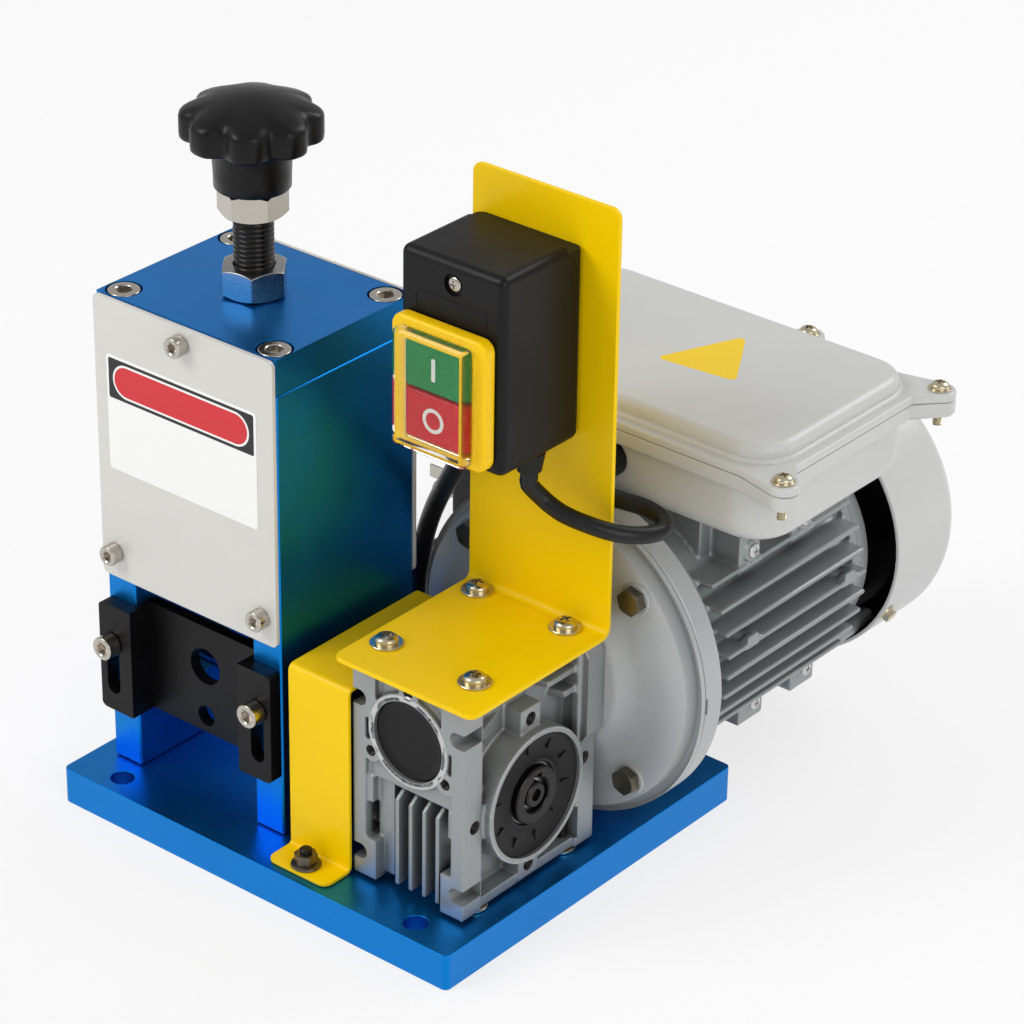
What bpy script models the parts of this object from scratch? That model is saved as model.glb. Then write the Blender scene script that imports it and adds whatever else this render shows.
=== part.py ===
"""Bench wire stripping machine, in metres with +Z up.

The origin is the middle of the base plate's underside. X runs along the plate's
front edge, from the stripping head to the gearbox. Y runs back along the motor.
"""
import math

import bmesh
import bpy
from mathutils import Matrix, Vector

# Fits that every piece shares
seat_gap = 0.0003         # clearance between two pieces that touch
overrun = 0.003           # how far a cut runs past the face that it opens
edge_break = 0.0007       # small bevel on a machined edge
weld_distance = 0.000002  # points closer than this are one
lathe_weld = 0.0001       # points on a lathe's axis closer than this are one

# Base plate
plate_length = 0.206
plate_depth = 0.180
plate_thickness = 0.016
plate_corner = 0.0025
mount_hole_radius = 0.005
mount_inset_x = 0.024
mount_inset_y = 0.010

# Stripping head: two side plates, a top plate and two sheet covers
head_left_margin = 0.009
head_front_margin = 0.021
head_width = 0.094
head_depth = 0.078
head_height = 0.211
side_thickness = 0.015
top_plate_thickness = 0.015
cover_thickness = 0.002
cover_height = 0.1236
cover_corner = 0.0025
cover_hole_radius = 0.0027
top_screw_inset = 0.0075
top_counterbore_radius = 0.0073
top_counterbore_depth = 0.006
top_screw_hole_radius = 0.0042
groove_width = 0.012
groove_depth = 0.004

# Socket-head screws on the front of the head
cover_screw_head_radius = 0.00425
cover_screw_head_length = 0.005
cover_screw_shank_radius = 0.0024
cover_screw_length = 0.012
cover_screw_drop = 0.0075
cover_screw_rise = 0.0115
guide_screw_head_radius = 0.005
guide_screw_head_length = 0.006
guide_screw_shank_radius = 0.003
guide_screw_length = 0.020
socket_radius = 0.0025
socket_depth = 0.003

# Cable guide: a hat-shaped plate that slides up and down on two screws
guide_ear_thickness = 0.006
guide_ear_side_gap = 0.0003
guide_recess_depth = 0.006
guide_plate_thickness = 0.005
guide_web_thickness = 0.0025
guide_bottom = 0.027          # above the plate
guide_height = 0.049
guide_corner = 0.003
large_hole_radius = 0.008
small_hole_radius = 0.0045
large_hole_rise = 0.0305      # above the guide's lower edge
small_hole_rise = 0.0075
guide_screw_rise = 0.0315
guide_travel = 0.020
slot_radius = 0.0035
slot_round_share = 0.99       # rounding of a slot's end, as a share of its half width

# Drive line from the head to the gearbox
drive_shaft_radius = 0.007
bearing_radius = 0.013
bearing_width = 0.008
roller_radius = 0.012
roller_width = 0.016
roller_tooth_depth = 0.0008
roller_teeth = 30

# Blade, carriage and adjusting screw
blade_radius = 0.020
blade_thickness = 0.003
blade_hub_radius = 0.010
blade_hub_width = 0.012
blade_bevel = 0.004
blade_shaft_radius = 0.005
blade_shaft_margin = 0.004
blade_rest_gap = 0.0150       # blade edge above the feed roller at rest
carriage_depth = 0.044
carriage_skirt = 0.006        # carriage reaches this far below the blade's axis
carriage_height = 0.062
carriage_slot_width = 0.0135
carriage_down_travel = 0.014
spindle_radius = 0.008
spindle_collar_radius = 0.011
spindle_collar_length = 0.006
spindle_neck_radius = 0.0055
spindle_neck_length = 0.008
nut_flat_radius = 0.012       # half the distance across flats
nut_chamfer_share = 0.6       # chamfer's height against its width
lock_nut_height = 0.012
knob_nut_height = 0.011
knob_nut_rise = 0.0335        # underside of the upper nut above the head's top

# Adjusting knob
knob_radius = 0.0277
knob_lobe_depth = 0.0036
knob_lobes = 8
knob_hub_radius = 0.015
knob_hub_flare = 0.0168
knob_hub_length = 0.014
knob_height = 0.038
knob_rim_drop = 0.0185        # from the top down to the rim's lower edge
knob_rim_shoulder = 0.0085
knob_facing = math.radians(-51.3)
knob_wave_power_share = 1.3   # above 1 makes the lobes wider than the dents
# Up the knob: share of its radius and share of the lobes' depth
knob_skirt_shares = ((0.80, 0.6), (0.95, 1))
knob_crown_shares = ((0.955, 1), (0.82, 0.85), (0.60, 0.4), (0.36, 0), (0.14, 0))
# Height of each crown ring between the shoulder and the top
knob_crown_height_shares = (0.17, 0.42, 0.71, 0.89, 1)

# Worm gearbox
gear_gap = 0.038              # from the head's side to the casting
gear_width = 0.056
gear_length = 0.080
gear_height = 0.097
gear_corner = 0.003
foot_spacer = 0.0015
spacer_radius = 0.006
output_height = 0.040
worm_distance = 0.030
output_ring_radius = 0.0285
output_ring_reach = 0.0035
output_bore_radius = 0.0262
output_lobe_circle = 0.0325
output_lobe_radius = 0.0062
output_thread_radius = 0.0026
output_thread_depth = 0.0085
side_recess_depth = 0.005
side_recess_margin = 0.0045
rib_start_share = 0.8         # a rib's start as a share of the recess's margin
front_recess_margin = 0.0090
seal_thickness = 0.006
seal_recess = 0.0012
seal_bore_radius = 0.0128
sleeve_radius = 0.0122
sleeve_key_width = 0.005
sleeve_key_rise = 0.0023
worm_ring_radius = 0.0200
worm_cap_radius = 0.0170
worm_cap_thickness = 0.006
worm_cap_recess = 0.0015
worm_bore_radius = 0.0130
worm_lug_circle = 0.0212
worm_lug_radius = 0.0050
worm_lug_hole_radius = 0.0020
worm_lug_hole_depth = 0.007
front_fins = 5
front_fin_slot_depth = 0.010
front_fin_thickness = 0.0026
front_fin_top = 0.042         # above the foot
foot_thickness = 0.008
foot_hole_pitch_x = 0.044
foot_hole_pitch_y = 0.054
foot_hole_radius = 0.0033
foot_pocket_height = 0.016
foot_pocket_width = 0.0125

# Worm and wheel inside the gearbox
wheel_teeth = 30
wheel_width = 0.010
worm_pitch = 0.004524
worm_pitch_radius = 0.0084
tooth_reach = 0.0012          # tooth height on each side of the pitch line
tooth_clearance = 0.0004
tooth_share = 0.40            # share of the pitch that a tooth fills at the pitch line
tooth_taper_share = 0.16      # share of the pitch that each flank leans over
worm_turns = 3
worm_core_margin = 0.0002
worm_sleeve_radius = 0.0098
worm_front_radius = 0.0060
motor_shaft_radius = 0.0055

# Gearbox flange and motor flange
flange_reach = 0.055          # from the output axis to the joint between the flanges
flange_radius = 0.070
gear_flange_rim = 0.008
gear_flange_rise = 0.0105
gear_flange_chamfer = 0.0045
gear_flange_hub_radius = 0.034
gear_flange_bore_radius = 0.0150
motor_flange_rim = 0.011
motor_flange_chamfer = 0.0015
motor_flange_throat = 0.0555
motor_flange_depth = 0.021
motor_flange_bore_radius = 0.0165
shaft_shoulder_share = 0.75   # the motor shaft's shoulder against the flange's bore
flange_bolt_circle = 0.0575
flange_bolt_radius = 0.0045

# Motor
motor_body_length = 0.1055
motor_core_radius = 0.0500
motor_fin_radius = 0.0600
motor_fins = 7
motor_fin_pitch = 0.0108
motor_fin_thickness = 0.0022
motor_bore_radius = 0.0440
stator_bore_radius = 0.0300
stator_length = 0.070
rotor_air_gap = 0.0006
rotor_end_margin = 0.006
motor_pad_width = 0.070
motor_pad_length = 0.066
motor_pad_margin = 0.018
motor_pad_rise = 0.0603
motor_lug_width = 0.013
motor_lug_length = 0.010
motor_lug_height = 0.012
motor_lug_out = 0.0330        # lug's middle, sideways from the axis
motor_lug_drop = 0.0480       # lug's underside, below the axis
motor_lug_inset = 0.032
motor_lug_hole_radius = 0.0028
end_shield_thickness = 0.009
end_shield_radius = 0.0520
end_shield_lug_reach = 0.012  # into the fan cover
end_shield_lug_depth = 0.004
end_shield_lug_width = 0.011
end_shield_bore_radius = 0.0080
rear_shaft_radius = 0.0065
fan_cover_radius = 0.0610
fan_cover_wall = 0.0014
fan_cover_gap = 0.0165        # between the finned body and the cover
fan_cover_length = 0.0455
fan_cover_round = 0.010
fan_slot_count = 12
fan_slot_inner = 0.018
fan_slot_outer = 0.043
fan_slot_width = 0.0045
fan_radius = 0.046
fan_hub_radius = 0.014
fan_length = 0.016
fan_blades = 8
fan_blade_thickness = 0.0022
fan_back_gap = 0.007

# Terminal and capacitor box on the motor
box_width = 0.160
box_depth = 0.100
box_front_reach = 0.0207      # from the flange joint back to the box
box_height = 0.0327
box_wall = 0.0026
box_corner = 0.022
box_foot_round = 0.009
box_ear_radius = 0.0068
box_rim_height = 0.0065
box_ear_reach_x = 0.022       # how far along the rim an ear's flare starts
box_ear_reach_y = 0.026
box_ear_out_x = 0.0075
box_ear_out_y = 0.0020
lid_rim_overhang = 0.004
lid_rim_thickness = 0.0028
lid_rise = 0.0105
lid_corner = 0.014
lid_wall = 0.0022
lid_round = 0.0032
capacitor_radius = 0.0155
capacitor_length = 0.062
capacitor_inset = 0.012
gland_radius = 0.0076
gland_length = 0.014
gland_height = 0.0180         # gland's axis above the box's underside
gland_place_share = 0.53      # place along the box's width
gland_hole_share = 0.7        # hole in the box against the gland's radius
gland_tip_share = 0.8         # outer end against the gland's radius

# Yellow guard over the drive shaft
sheet_guard = 0.0015
guard_side_gap = 0.0065       # from the head's side
guard_gear_gap = 0.0003
guard_front_overhang = 0.003  # in front of the head's front
guard_back_inset = 0.003      # in front of the head's back
guard_height = 0.084
guard_foot = 0.015
guard_bend = 0.0015
guard_foot_corner = 0.004
guard_hole_radius = 0.0034
guard_nut_flat = 0.0042
guard_nut_height = 0.0055
guard_nut_flange = 0.0062
guard_nut_flange_height = 0.0012
guard_stud_radius = 0.0025
guard_hole_share = 0.54       # place of the hole across the foot
guard_stud_rise = 0.0022

# Yellow switch bracket on the gearbox
sheet_bracket = 0.002
bracket_width = 0.0695
bracket_left_overhang = 0.004
bracket_front_overhang = 0.007
bracket_upright_back = 0.0055 # upright's front face behind the head's back, negative side
bracket_top = 0.1775          # upright's height above the gearbox
bracket_bend = 0.003
bracket_corner = 0.004
bracket_hole_radius = 0.0034

# Switch box, frame, buttons and clear cover
switch_left = 0.004           # box's left side from the bracket's left edge
switch_width = 0.050
switch_depth = 0.0460
switch_height = 0.081
switch_rise = 0.0800          # box's underside above the bracket's plate
switch_wall = 0.0022
switch_round = 0.0035
switch_pocket_width = 0.036
switch_pocket_height = 0.046
frame_width = 0.0455
frame_height = 0.0535
frame_depth = 0.0060
frame_bottom = 0.0030         # frame's lower edge above the box's underside
frame_left = 0.0015
frame_corner = 0.0045
frame_window_width = 0.0310
frame_window_height = 0.0440
button_width = 0.0280
button_height = 0.0200
button_gap = 0.0008
button_depth = 0.0220
button_proud = 0.0022         # in front of the frame
button_round = 0.0012
clear_cover_depth = 0.0062
clear_cover_wall = 0.0008
clear_cover_draft = 0.0015
clear_cover_flange = 0.0022

# Cable from the switch box to the motor
link_radius = 0.0035
link_gland_radius = 0.0062
link_gland_tip_radius = 0.0048
link_gland_length = 0.008
link_exit_left = 0.042        # from the box's left side
link_exit_back = 0.020        # from the box's back
link_step = 0.006             # spacing of the points on the cable's curve
end_straight = 0.003          # straight stretch beside a gland or a bush

# Mains lead, its coil and its plug
cord_radius = 0.004
cord_step = 0.011             # spacing of the points on the lead's curve
relief_step = 0.003
relief_straight = 0.002
relief_radius = 0.0070
relief_tip_radius = 0.0052
coil_outer_radius = 0.054
coil_pitch = 0.0087
coil_loops = 5.25
coil_points = 24
coil_centre = (-0.064, 0.156)
tail_length = 0.026
tail_point_shares = (0.3, 0.65, 1)
plug_width = 0.027
plug_thickness = 0.0254
plug_length = 0.034
plug_boot_length = 0.016
plug_boot_radius = 0.0075
plug_round = 0.004
plug_blade_length = 0.0175
plug_blade_width = 0.0064
plug_blade_thickness = 0.0015
plug_blade_pitch = 0.0127
plug_pin_radius = 0.0024
plug_pin_length = 0.020
plug_pin_drop = 0.0119

# Places that follow from the sizes
plate_left = -plate_length / 2
plate_front = -plate_depth / 2
head_left = plate_left + head_left_margin
head_right = head_left + head_width
head_front = plate_front + head_front_margin
head_back = head_front + head_depth
head_top = plate_thickness + head_height
head_mid_x = head_left + head_width / 2
head_mid_y = head_front + head_depth / 2
inner_left = head_left + side_thickness
inner_right = head_right - side_thickness
side_top = head_top - top_plate_thickness - seat_gap
cover_bottom = head_top - cover_height
pillar_xs = (head_left + side_thickness / 2, head_right - side_thickness / 2)
gear_left = head_right + gear_gap
gear_right = gear_left + gear_width
gear_mid_x = gear_left + gear_width / 2
gear_front = head_mid_y - gear_length / 2
gear_back = head_mid_y + gear_length / 2
gear_base = plate_thickness + foot_spacer
gear_top = gear_base + gear_height
drive_z = gear_base + output_height
motor_z = drive_z + worm_distance
flange_face = head_mid_y + flange_reach
body_front = flange_face + motor_flange_depth + seat_gap
body_back = body_front + motor_body_length
shield_back = body_back + seat_gap + end_shield_thickness
cover_front = body_back + fan_cover_gap
cover_back = cover_front + fan_cover_length
blade_z = drive_z + roller_radius + blade_rest_gap + blade_radius
carriage_bottom = blade_z - carriage_skirt
carriage_top = carriage_bottom + carriage_height
guide_front = head_front - seat_gap - guide_ear_thickness
guide_low = plate_thickness + guide_bottom
guide_screw_z = guide_low + guide_screw_rise
knob_nut_bottom = head_top + knob_nut_rise
knob_bottom = knob_nut_bottom + knob_nut_height + seat_gap
knob_top = knob_bottom + knob_height
bracket_floor = gear_top + seat_gap
bracket_deck = bracket_floor + sheet_bracket
bracket_left = gear_left - bracket_left_overhang
upright_front = head_back - bracket_upright_back
switch_x = bracket_left + switch_left
switch_back = upright_front - seat_gap
switch_front = switch_back - switch_depth
switch_low = bracket_deck + switch_rise
frame_x = switch_x + frame_left
frame_z = switch_low + frame_bottom
frame_back = switch_front - seat_gap
frame_front = frame_back - frame_depth
box_front = flange_face + box_front_reach
box_base = motor_z + motor_pad_rise + seat_gap
box_top = box_base + box_height
box_left = gear_mid_x - box_width / 2
box_right = gear_mid_x + box_width / 2
box_back = box_front + box_depth

parts = None
cutters = None


def clear_objects():
    """Start from an empty scene."""
    for thing in list(bpy.data.objects):
        bpy.data.objects.remove(thing, do_unlink=True)


def new_collection(name):
    """A collection linked to the scene."""
    group = bpy.data.collections.new(name)
    bpy.context.scene.collection.children.link(group)
    return group


def finish(name, colour, roughness, metallic=0.0):
    """A plain material with the real part's colour and gloss."""
    material = bpy.data.materials.new(name)
    material.use_nodes = True
    shader = material.node_tree.nodes["Principled BSDF"]
    shader.inputs["Base Color"].default_value = (*colour, 1.0)
    shader.inputs["Roughness"].default_value = roughness
    shader.inputs["Metallic"].default_value = metallic
    return material


def link_form(name, form, material=None):
    """Turn a bmesh into an object among the parts, or among the cutters if it has no material."""
    mesh = bpy.data.meshes.new(name)
    form.to_mesh(mesh)
    form.free()
    return link_mesh(name, mesh, material)


def link_mesh(name, mesh, material=None):
    """Link a mesh as a part, or as a hidden cutter if it has no material."""
    thing = bpy.data.objects.new(name, mesh)
    if material is None:
        cutters.objects.link(thing)
        thing.hide_render = True
        thing.display_type = "WIRE"
    else:
        parts.objects.link(thing)
        mesh.materials.append(material)
    return thing


def block(name, low, high, material=None):
    """A box between two opposite corners."""
    form = bmesh.new()
    bmesh.ops.create_cube(form, size=1)
    spread = [b - a for a, b in zip(low, high)]
    middle = [(a + b) / 2 for a, b in zip(low, high)]
    bmesh.ops.scale(form, vec=spread, verts=form.verts)
    bmesh.ops.translate(form, vec=middle, verts=form.verts)
    return link_form(name, form, material)


def rod(name, start, end, radius, material=None, sides=24, end_radius=None):
    """A cylinder, or a cone, between two points."""
    start = Vector(start)
    end = Vector(end)
    run = end - start
    form = bmesh.new()
    bmesh.ops.create_cone(form, cap_ends=True, segments=sides, radius1=radius,
                          radius2=end_radius or radius, depth=run.length)
    turn = run.to_track_quat("Z", "Y").to_matrix().to_4x4()
    place = Matrix.Translation((start + end) / 2)
    bmesh.ops.transform(form, matrix=place @ turn, verts=form.verts)
    thing = link_form(name, form, material)
    thing.data.shade_smooth()
    thing.data.set_sharp_from_angle(angle=math.radians(35))
    return thing


def turned(name, profile, start, along, material=None, sides=32, ring=False):
    """A turned shape. The profile lists (radius, height) from its top down its outer side."""
    mesh = bpy.data.meshes.new(name)
    corners = [(radius, 0, height) for radius, height in profile]
    edges = [(index, index + 1) for index in range(len(corners) - 1)]
    if ring:
        edges.append((len(corners) - 1, 0))
    mesh.from_pydata(corners, edges, [])
    thing = link_mesh(name, mesh, material)
    thing.location = start
    thing.rotation_euler = Vector(along).to_track_quat("Z", "Y").to_euler()
    lathe = thing.modifiers.new("lathe", "SCREW")
    lathe.axis = "Z"
    lathe.angle = math.tau
    lathe.steps = sides
    lathe.render_steps = sides
    lathe.use_merge_vertices = True
    lathe.merge_threshold = lathe_weld
    lathe.use_smooth_shade = False
    return thing


def rectangle(low_x, low_y, high_x, high_y):
    """Four corners, anticlockwise."""
    return [(low_x, low_y), (high_x, low_y), (high_x, high_y), (low_x, high_y)]


def circle(middle_x, middle_y, radius, sides=16, first=0.0):
    """Points round a circle."""
    steps = [first + math.tau * index / sides for index in range(sides)]
    return [(middle_x + radius * math.cos(angle), middle_y + radius * math.sin(angle)) for angle in steps]


def hexagon(middle_x, middle_y, flat_radius, first=0.0):
    """A hexagon by half its distance across flats."""
    return circle(middle_x, middle_y, flat_radius / math.cos(math.pi / 6), 6, first)


def rounded(corners, radius, steps=4):
    """The outline with its corners rounded by one radius, or by one for each corner."""
    count = len(corners)
    radii = radius if isinstance(radius, (list, tuple)) else [radius] * count
    path = []
    for index, point in enumerate(corners):
        corner = Vector(point)
        if not radii[index]:
            path.append(tuple(corner))
            continue
        before = (Vector(corners[index - 1]) - corner).normalized()
        after = (Vector(corners[(index + 1) % count]) - corner).normalized()
        half = before.angle(after) / 2
        centre = corner + (before + after).normalized() * radii[index] / math.sin(half)
        reach = radii[index] / math.tan(half)
        first = corner + before * reach - centre
        last = corner + after * reach - centre
        start = math.atan2(first.y, first.x)
        sweep = (math.atan2(last.y, last.x) - start + math.pi) % math.tau - math.pi
        for step in range(steps + 1):
            angle = start + sweep * step / steps
            path.append((centre.x + radii[index] * math.cos(angle),
                    centre.y + radii[index] * math.sin(angle)))
    return path


def folded(path, thickness, inner_radius, steps=3):
    """The outline of a bent sheet whose middle follows a path."""
    sides = ([], [])
    radii = ([], [])
    for index, point in enumerate(path):
        here = Vector(point)
        before = (here - Vector(path[index - 1])).normalized() if index else None
        after = (Vector(path[index + 1]) - here).normalized() if index < len(path) - 1 else None
        before = before or after
        after = after or before
        normal = Vector((-before.y - after.y, before.x + after.x)).normalized()
        half = before.angle(after) / 2
        out = normal * thickness / 2 / math.cos(half)
        bend = before.x * after.y - before.y * after.x
        left_radius = inner_radius if bend > 0 else inner_radius + thickness
        right_radius = inner_radius + thickness if bend > 0 else inner_radius
        straight = abs(bend) < seat_gap
        sides[0].append(tuple(here + out))
        sides[1].append(tuple(here - out))
        radii[0].append(0 if straight else left_radius)
        radii[1].append(0 if straight else right_radius)
    outline = sides[1] + sides[0][::-1]
    return rounded(outline, radii[1] + radii[0][::-1], steps)


plane_turns = {
    "XY": Matrix.Identity(4),
    "XZ": Matrix(((1, 0, 0, 0), (0, 0, -1, 0), (0, 1, 0, 0), (0, 0, 0, 1))),
    "YZ": Matrix(((0, 0, 1, 0), (1, 0, 0, 0), (0, 1, 0, 0), (0, 0, 0, 1))),
}


def prism(name, outlines, plane, low, high, material=None):
    """Flat outlines in a plane, the first with the others as holes, given thickness across it."""
    curve = bpy.data.curves.new(name + "_outline", "CURVE")
    curve.dimensions = "2D"
    curve.fill_mode = "BOTH"
    curve.extrude = (high - low) / 2
    for outline in outlines:
        spline = curve.splines.new("POLY")
        spline.points.add(len(outline) - 1)
        for point, (along, up) in zip(spline.points, outline):
            point.co = (along, up, 0, 1)
        spline.use_cyclic_u = True
    shape = bpy.data.objects.new(name + "_outline", curve)
    cutters.objects.link(shape)
    middle = (low + high) / 2
    lift = -middle if plane == "XZ" else middle
    shape.matrix_world = plane_turns[plane] @ Matrix.Translation((0, 0, lift))
    return curve_to_part(name, shape, material)


def curve_to_part(name, shape, material=None):
    """Make a curve object into a welded mesh object and remove the curve."""
    bpy.context.view_layer.update()
    graph = bpy.context.evaluated_depsgraph_get()
    mesh = bpy.data.meshes.new_from_object(shape.evaluated_get(graph))
    mesh.name = name
    mesh.materials.clear()
    form = bmesh.new()
    form.from_mesh(mesh)
    bmesh.ops.remove_doubles(form, verts=form.verts, dist=weld_distance)
    form.to_mesh(mesh)
    form.free()
    thing = link_mesh(name, mesh, material)
    thing.matrix_world = shape.matrix_world
    bpy.data.objects.remove(shape, do_unlink=True)
    return thing


def tube(name, points, radius, material, radii_shares=None, detail=2):
    """A round tube along points, with filled ends."""
    curve = bpy.data.curves.new(name + "_path", "CURVE")
    curve.dimensions = "3D"
    curve.bevel_depth = radius
    curve.bevel_resolution = detail
    curve.use_fill_caps = True
    spline = curve.splines.new("POLY")
    spline.points.add(len(points) - 1)
    for index, (point, place) in enumerate(zip(spline.points, points)):
        point.co = (*place, 1)
        if radii_shares:
            point.radius = radii_shares[index]
    shape = bpy.data.objects.new(name + "_path", curve)
    cutters.objects.link(shape)
    return curve_to_part(name, shape, material)


def lofted(name, rings, material=None):
    """A closed body through rings of as many points each."""
    form = bmesh.new()
    rows = [[form.verts.new(point) for point in ring] for ring in rings]
    count = len(rows[0])
    for lower, upper in zip(rows, rows[1:]):
        for index in range(count):
            nextone = (index + 1) % count
            form.faces.new((lower[index], lower[nextone], upper[nextone], upper[index]))
    form.faces.new(rows[0][::-1])
    form.faces.new(rows[-1])
    bmesh.ops.recalc_face_normals(form, faces=form.faces)
    return link_form(name, form, material)


def soften(thing, width, steps=2):
    """Round a piece's sharp edges."""
    bevel = thing.modifiers.new("soft_edges", "BEVEL")
    bevel.width = width
    bevel.segments = steps
    bevel.limit_method = "ANGLE"
    bevel.angle_limit = math.radians(40)
    return thing


def combine(target, other, operation):
    """Boolean of a piece with another object, which stays as a hidden guide."""
    change = target.modifiers.new(other.name, "BOOLEAN")
    change.operation = operation
    change.object = other
    return target


def cut(target, *others):
    """Take other shapes out of a piece."""
    for other in others:
        combine(target, other, "DIFFERENCE")
    return target


def join(target, *others):
    """Fuse other shapes to a piece."""
    for other in others:
        combine(target, other, "UNION")
    return target


def keep_inside(target, other):
    """Keep only what of a piece lies inside another shape."""
    return combine(target, other, "INTERSECT")


def pivot(name, place):
    """An empty on a joint's axis."""
    empty = bpy.data.objects.new(name, None)
    empty.location = place
    empty.empty_display_size = head_width / 10
    parts.objects.link(empty)
    return empty


def hang(empty, *things):
    """Parent pieces to a joint's empty where they stand."""
    for thing in things:
        thing.parent = empty
        thing.matrix_parent_inverse = Matrix.Translation(-empty.location)


def smooth_path(points, spacing):
    """Points read at a spacing from a smooth curve through a route's own points."""
    route = [Vector(point) for point in points]
    route = [route[0] * 2 - route[1]] + route + [route[-1] * 2 - route[-2]]
    path = []
    for a, b, c, d in zip(route, route[1:], route[2:], route[3:]):
        count = max(1, round((c - b).length / spacing))
        for step in range(count):
            t = step / count
            path.append(0.5 * ((b * 2) + (c - a) * t + (a * 2 - b * 5 + c * 4 - d) * t ** 2
                               + (b * 3 - a - c * 3 + d) * t ** 3))
    path.append(route[-2])
    return path


def path_length(points):
    """Length along points."""
    return sum((b - a).length for a, b in zip(points, points[1:]))


def make_finishes():
    """Colours and gloss of the real machine's surfaces."""
    return {
        "blue": finish("blue_anodised_aluminium", (0.005, 0.165, 0.48), 0.35, 0.3),
        "sheet": finish("brushed_sheet", (0.70, 0.69, 0.66), 0.45, 0.6),
        "yellow": finish("yellow_powder_coat", (0.80, 0.56, 0.01), 0.35),
        "casting": finish("cast_aluminium", (0.30, 0.32, 0.33), 0.5, 0.5),
        "grey_paint": finish("light_grey_paint", (0.60, 0.61, 0.58), 0.4),
        "steel": finish("machined_steel", (0.45, 0.45, 0.44), 0.3, 1.0),
        "zinc": finish("zinc_plated_steel", (0.55, 0.54, 0.50), 0.35, 1.0),
        "black_steel": finish("black_oxide_steel", (0.02, 0.02, 0.02), 0.4, 0.7),
        "black_plastic": finish("black_plastic", (0.012, 0.012, 0.013), 0.45),
        "black_rubber": finish("black_rubber", (0.015, 0.015, 0.015), 0.7),
        "red": finish("red_plastic", (0.75, 0.03, 0.04), 0.35),
        "green": finish("green_plastic", (0.02, 0.24, 0.10), 0.35),
        "clear": finish("clear_soft_plastic", (0.85, 0.86, 0.86), 0.15),
        "bronze": finish("wheel_bronze", (0.45, 0.26, 0.08), 0.4, 1.0),
        "winding": finish("lacquered_copper", (0.35, 0.12, 0.04), 0.4, 0.6),
    }


def base_plate(finishes):
    """Thick plate with a bolt hole near each corner."""
    xs = (plate_left + mount_inset_x, -plate_left - mount_inset_x)
    ys = (plate_front + mount_inset_y, -plate_front - mount_inset_y)
    outline = rounded(rectangle(plate_left, plate_front, -plate_left, -plate_front), plate_corner)
    holes = [circle(x, y, mount_hole_radius) for x in xs for y in ys]
    plate = prism("base_plate", [outline] + holes, "XY", 0, plate_thickness, finishes["blue"])
    soften(plate, edge_break, 1)


def front_hole(name, x, z, radius, depth):
    """A cutter for a hole drilled back from the head's front."""
    return rod(name, (x, head_front - overrun, z), (x, head_front + depth, z), radius, sides=12)


def head_sides(finishes):
    """The two side plates, grooved for the carriage and bored for the drive shaft."""
    inner_faces = (inner_left, inner_right)
    signs = (-1, 1)
    outer_faces = (head_left, head_right)
    names = ("head_side_left", "head_side_right")
    for name, inner, outer, sign, pillar in zip(names, inner_faces, outer_faces, signs, pillar_xs):
        low = (min(inner, outer), head_front, plate_thickness + seat_gap)
        high = (max(inner, outer), head_back, side_top)
        side = block(name, low, high, finishes["blue"])
        soften(side, edge_break, 1)
        groove_low = (inner - groove_depth, head_mid_y - groove_width / 2,
                carriage_bottom - carriage_down_travel
                      - overrun)
        groove_high = (inner + groove_depth, head_mid_y + groove_width / 2, side_top + overrun)
        cut(side, block(name + "_groove", groove_low, groove_high))
        pocket_start = inner - sign * overrun
        pocket_end = inner + sign * (bearing_width + seat_gap)
        cut(side, rod(name + "_bearing_pocket", (pocket_start, head_mid_y, drive_z),
                      (pocket_end, head_mid_y, drive_z), bearing_radius + seat_gap))
        if outer == head_right:
            cut(side, rod(name + "_shaft_hole", (pocket_start, head_mid_y, drive_z),
                          (outer + overrun, head_mid_y, drive_z), drive_shaft_radius + 2 * seat_gap))
        guide_hole = guide_screw_shank_radius + seat_gap
        cut(side,
            front_hole(name + "_guide_hole", pillar, guide_screw_z, guide_hole, guide_screw_length),
            front_hole(name + "_spare_hole", pillar, guide_screw_z - guide_travel, guide_hole,
                    guide_screw_length),
            front_hole(name + "_cover_hole", pillar, cover_bottom + cover_screw_rise,
                       cover_screw_shank_radius + seat_gap, cover_screw_length))


def head_top_plate(finishes):
    """Top plate with four counterbored screw holes and the spindle's hole."""
    low = (head_left, head_front, head_top - top_plate_thickness)
    top = block("head_top_plate", low, (head_right, head_back, head_top), finishes["blue"])
    soften(top, edge_break, 1)
    for side, x in zip(("left", "right"), pillar_xs):
        for end, y in (("front", head_front + top_screw_inset), ("back", head_back - top_screw_inset)):
            name = "top_screw_" + end + "_" + side
            cut(top, rod(name + "_seat", (x, y, head_top - top_counterbore_depth), (x, y, head_top + overrun),
                         top_counterbore_radius, sides=16))
            cut(top, rod(name + "_hole", (x, y, head_top - top_plate_thickness - overrun), (x, y,
                    head_top + overrun),
                         top_screw_hole_radius, sides=8))
    spindle = rod("spindle_hole", (head_mid_x, head_mid_y, head_top - top_plate_thickness - overrun),
                  (head_mid_x, head_mid_y, head_top + overrun), spindle_radius + seat_gap)
    cut(top, spindle)
    cut(top, front_hole("top_cover_hole", head_mid_x, head_top - cover_screw_drop,
                        cover_screw_shank_radius + seat_gap, cover_screw_length))


def cover_screw_places():
    """Where the three front cover screws sit, as (name, x, z)."""
    low = cover_bottom + cover_screw_rise
    return (("cover_screw_top", head_mid_x, head_top - cover_screw_drop),
            ("cover_screw_left", pillar_xs[0], low),
            ("cover_screw_right", pillar_xs[1], low))


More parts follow.
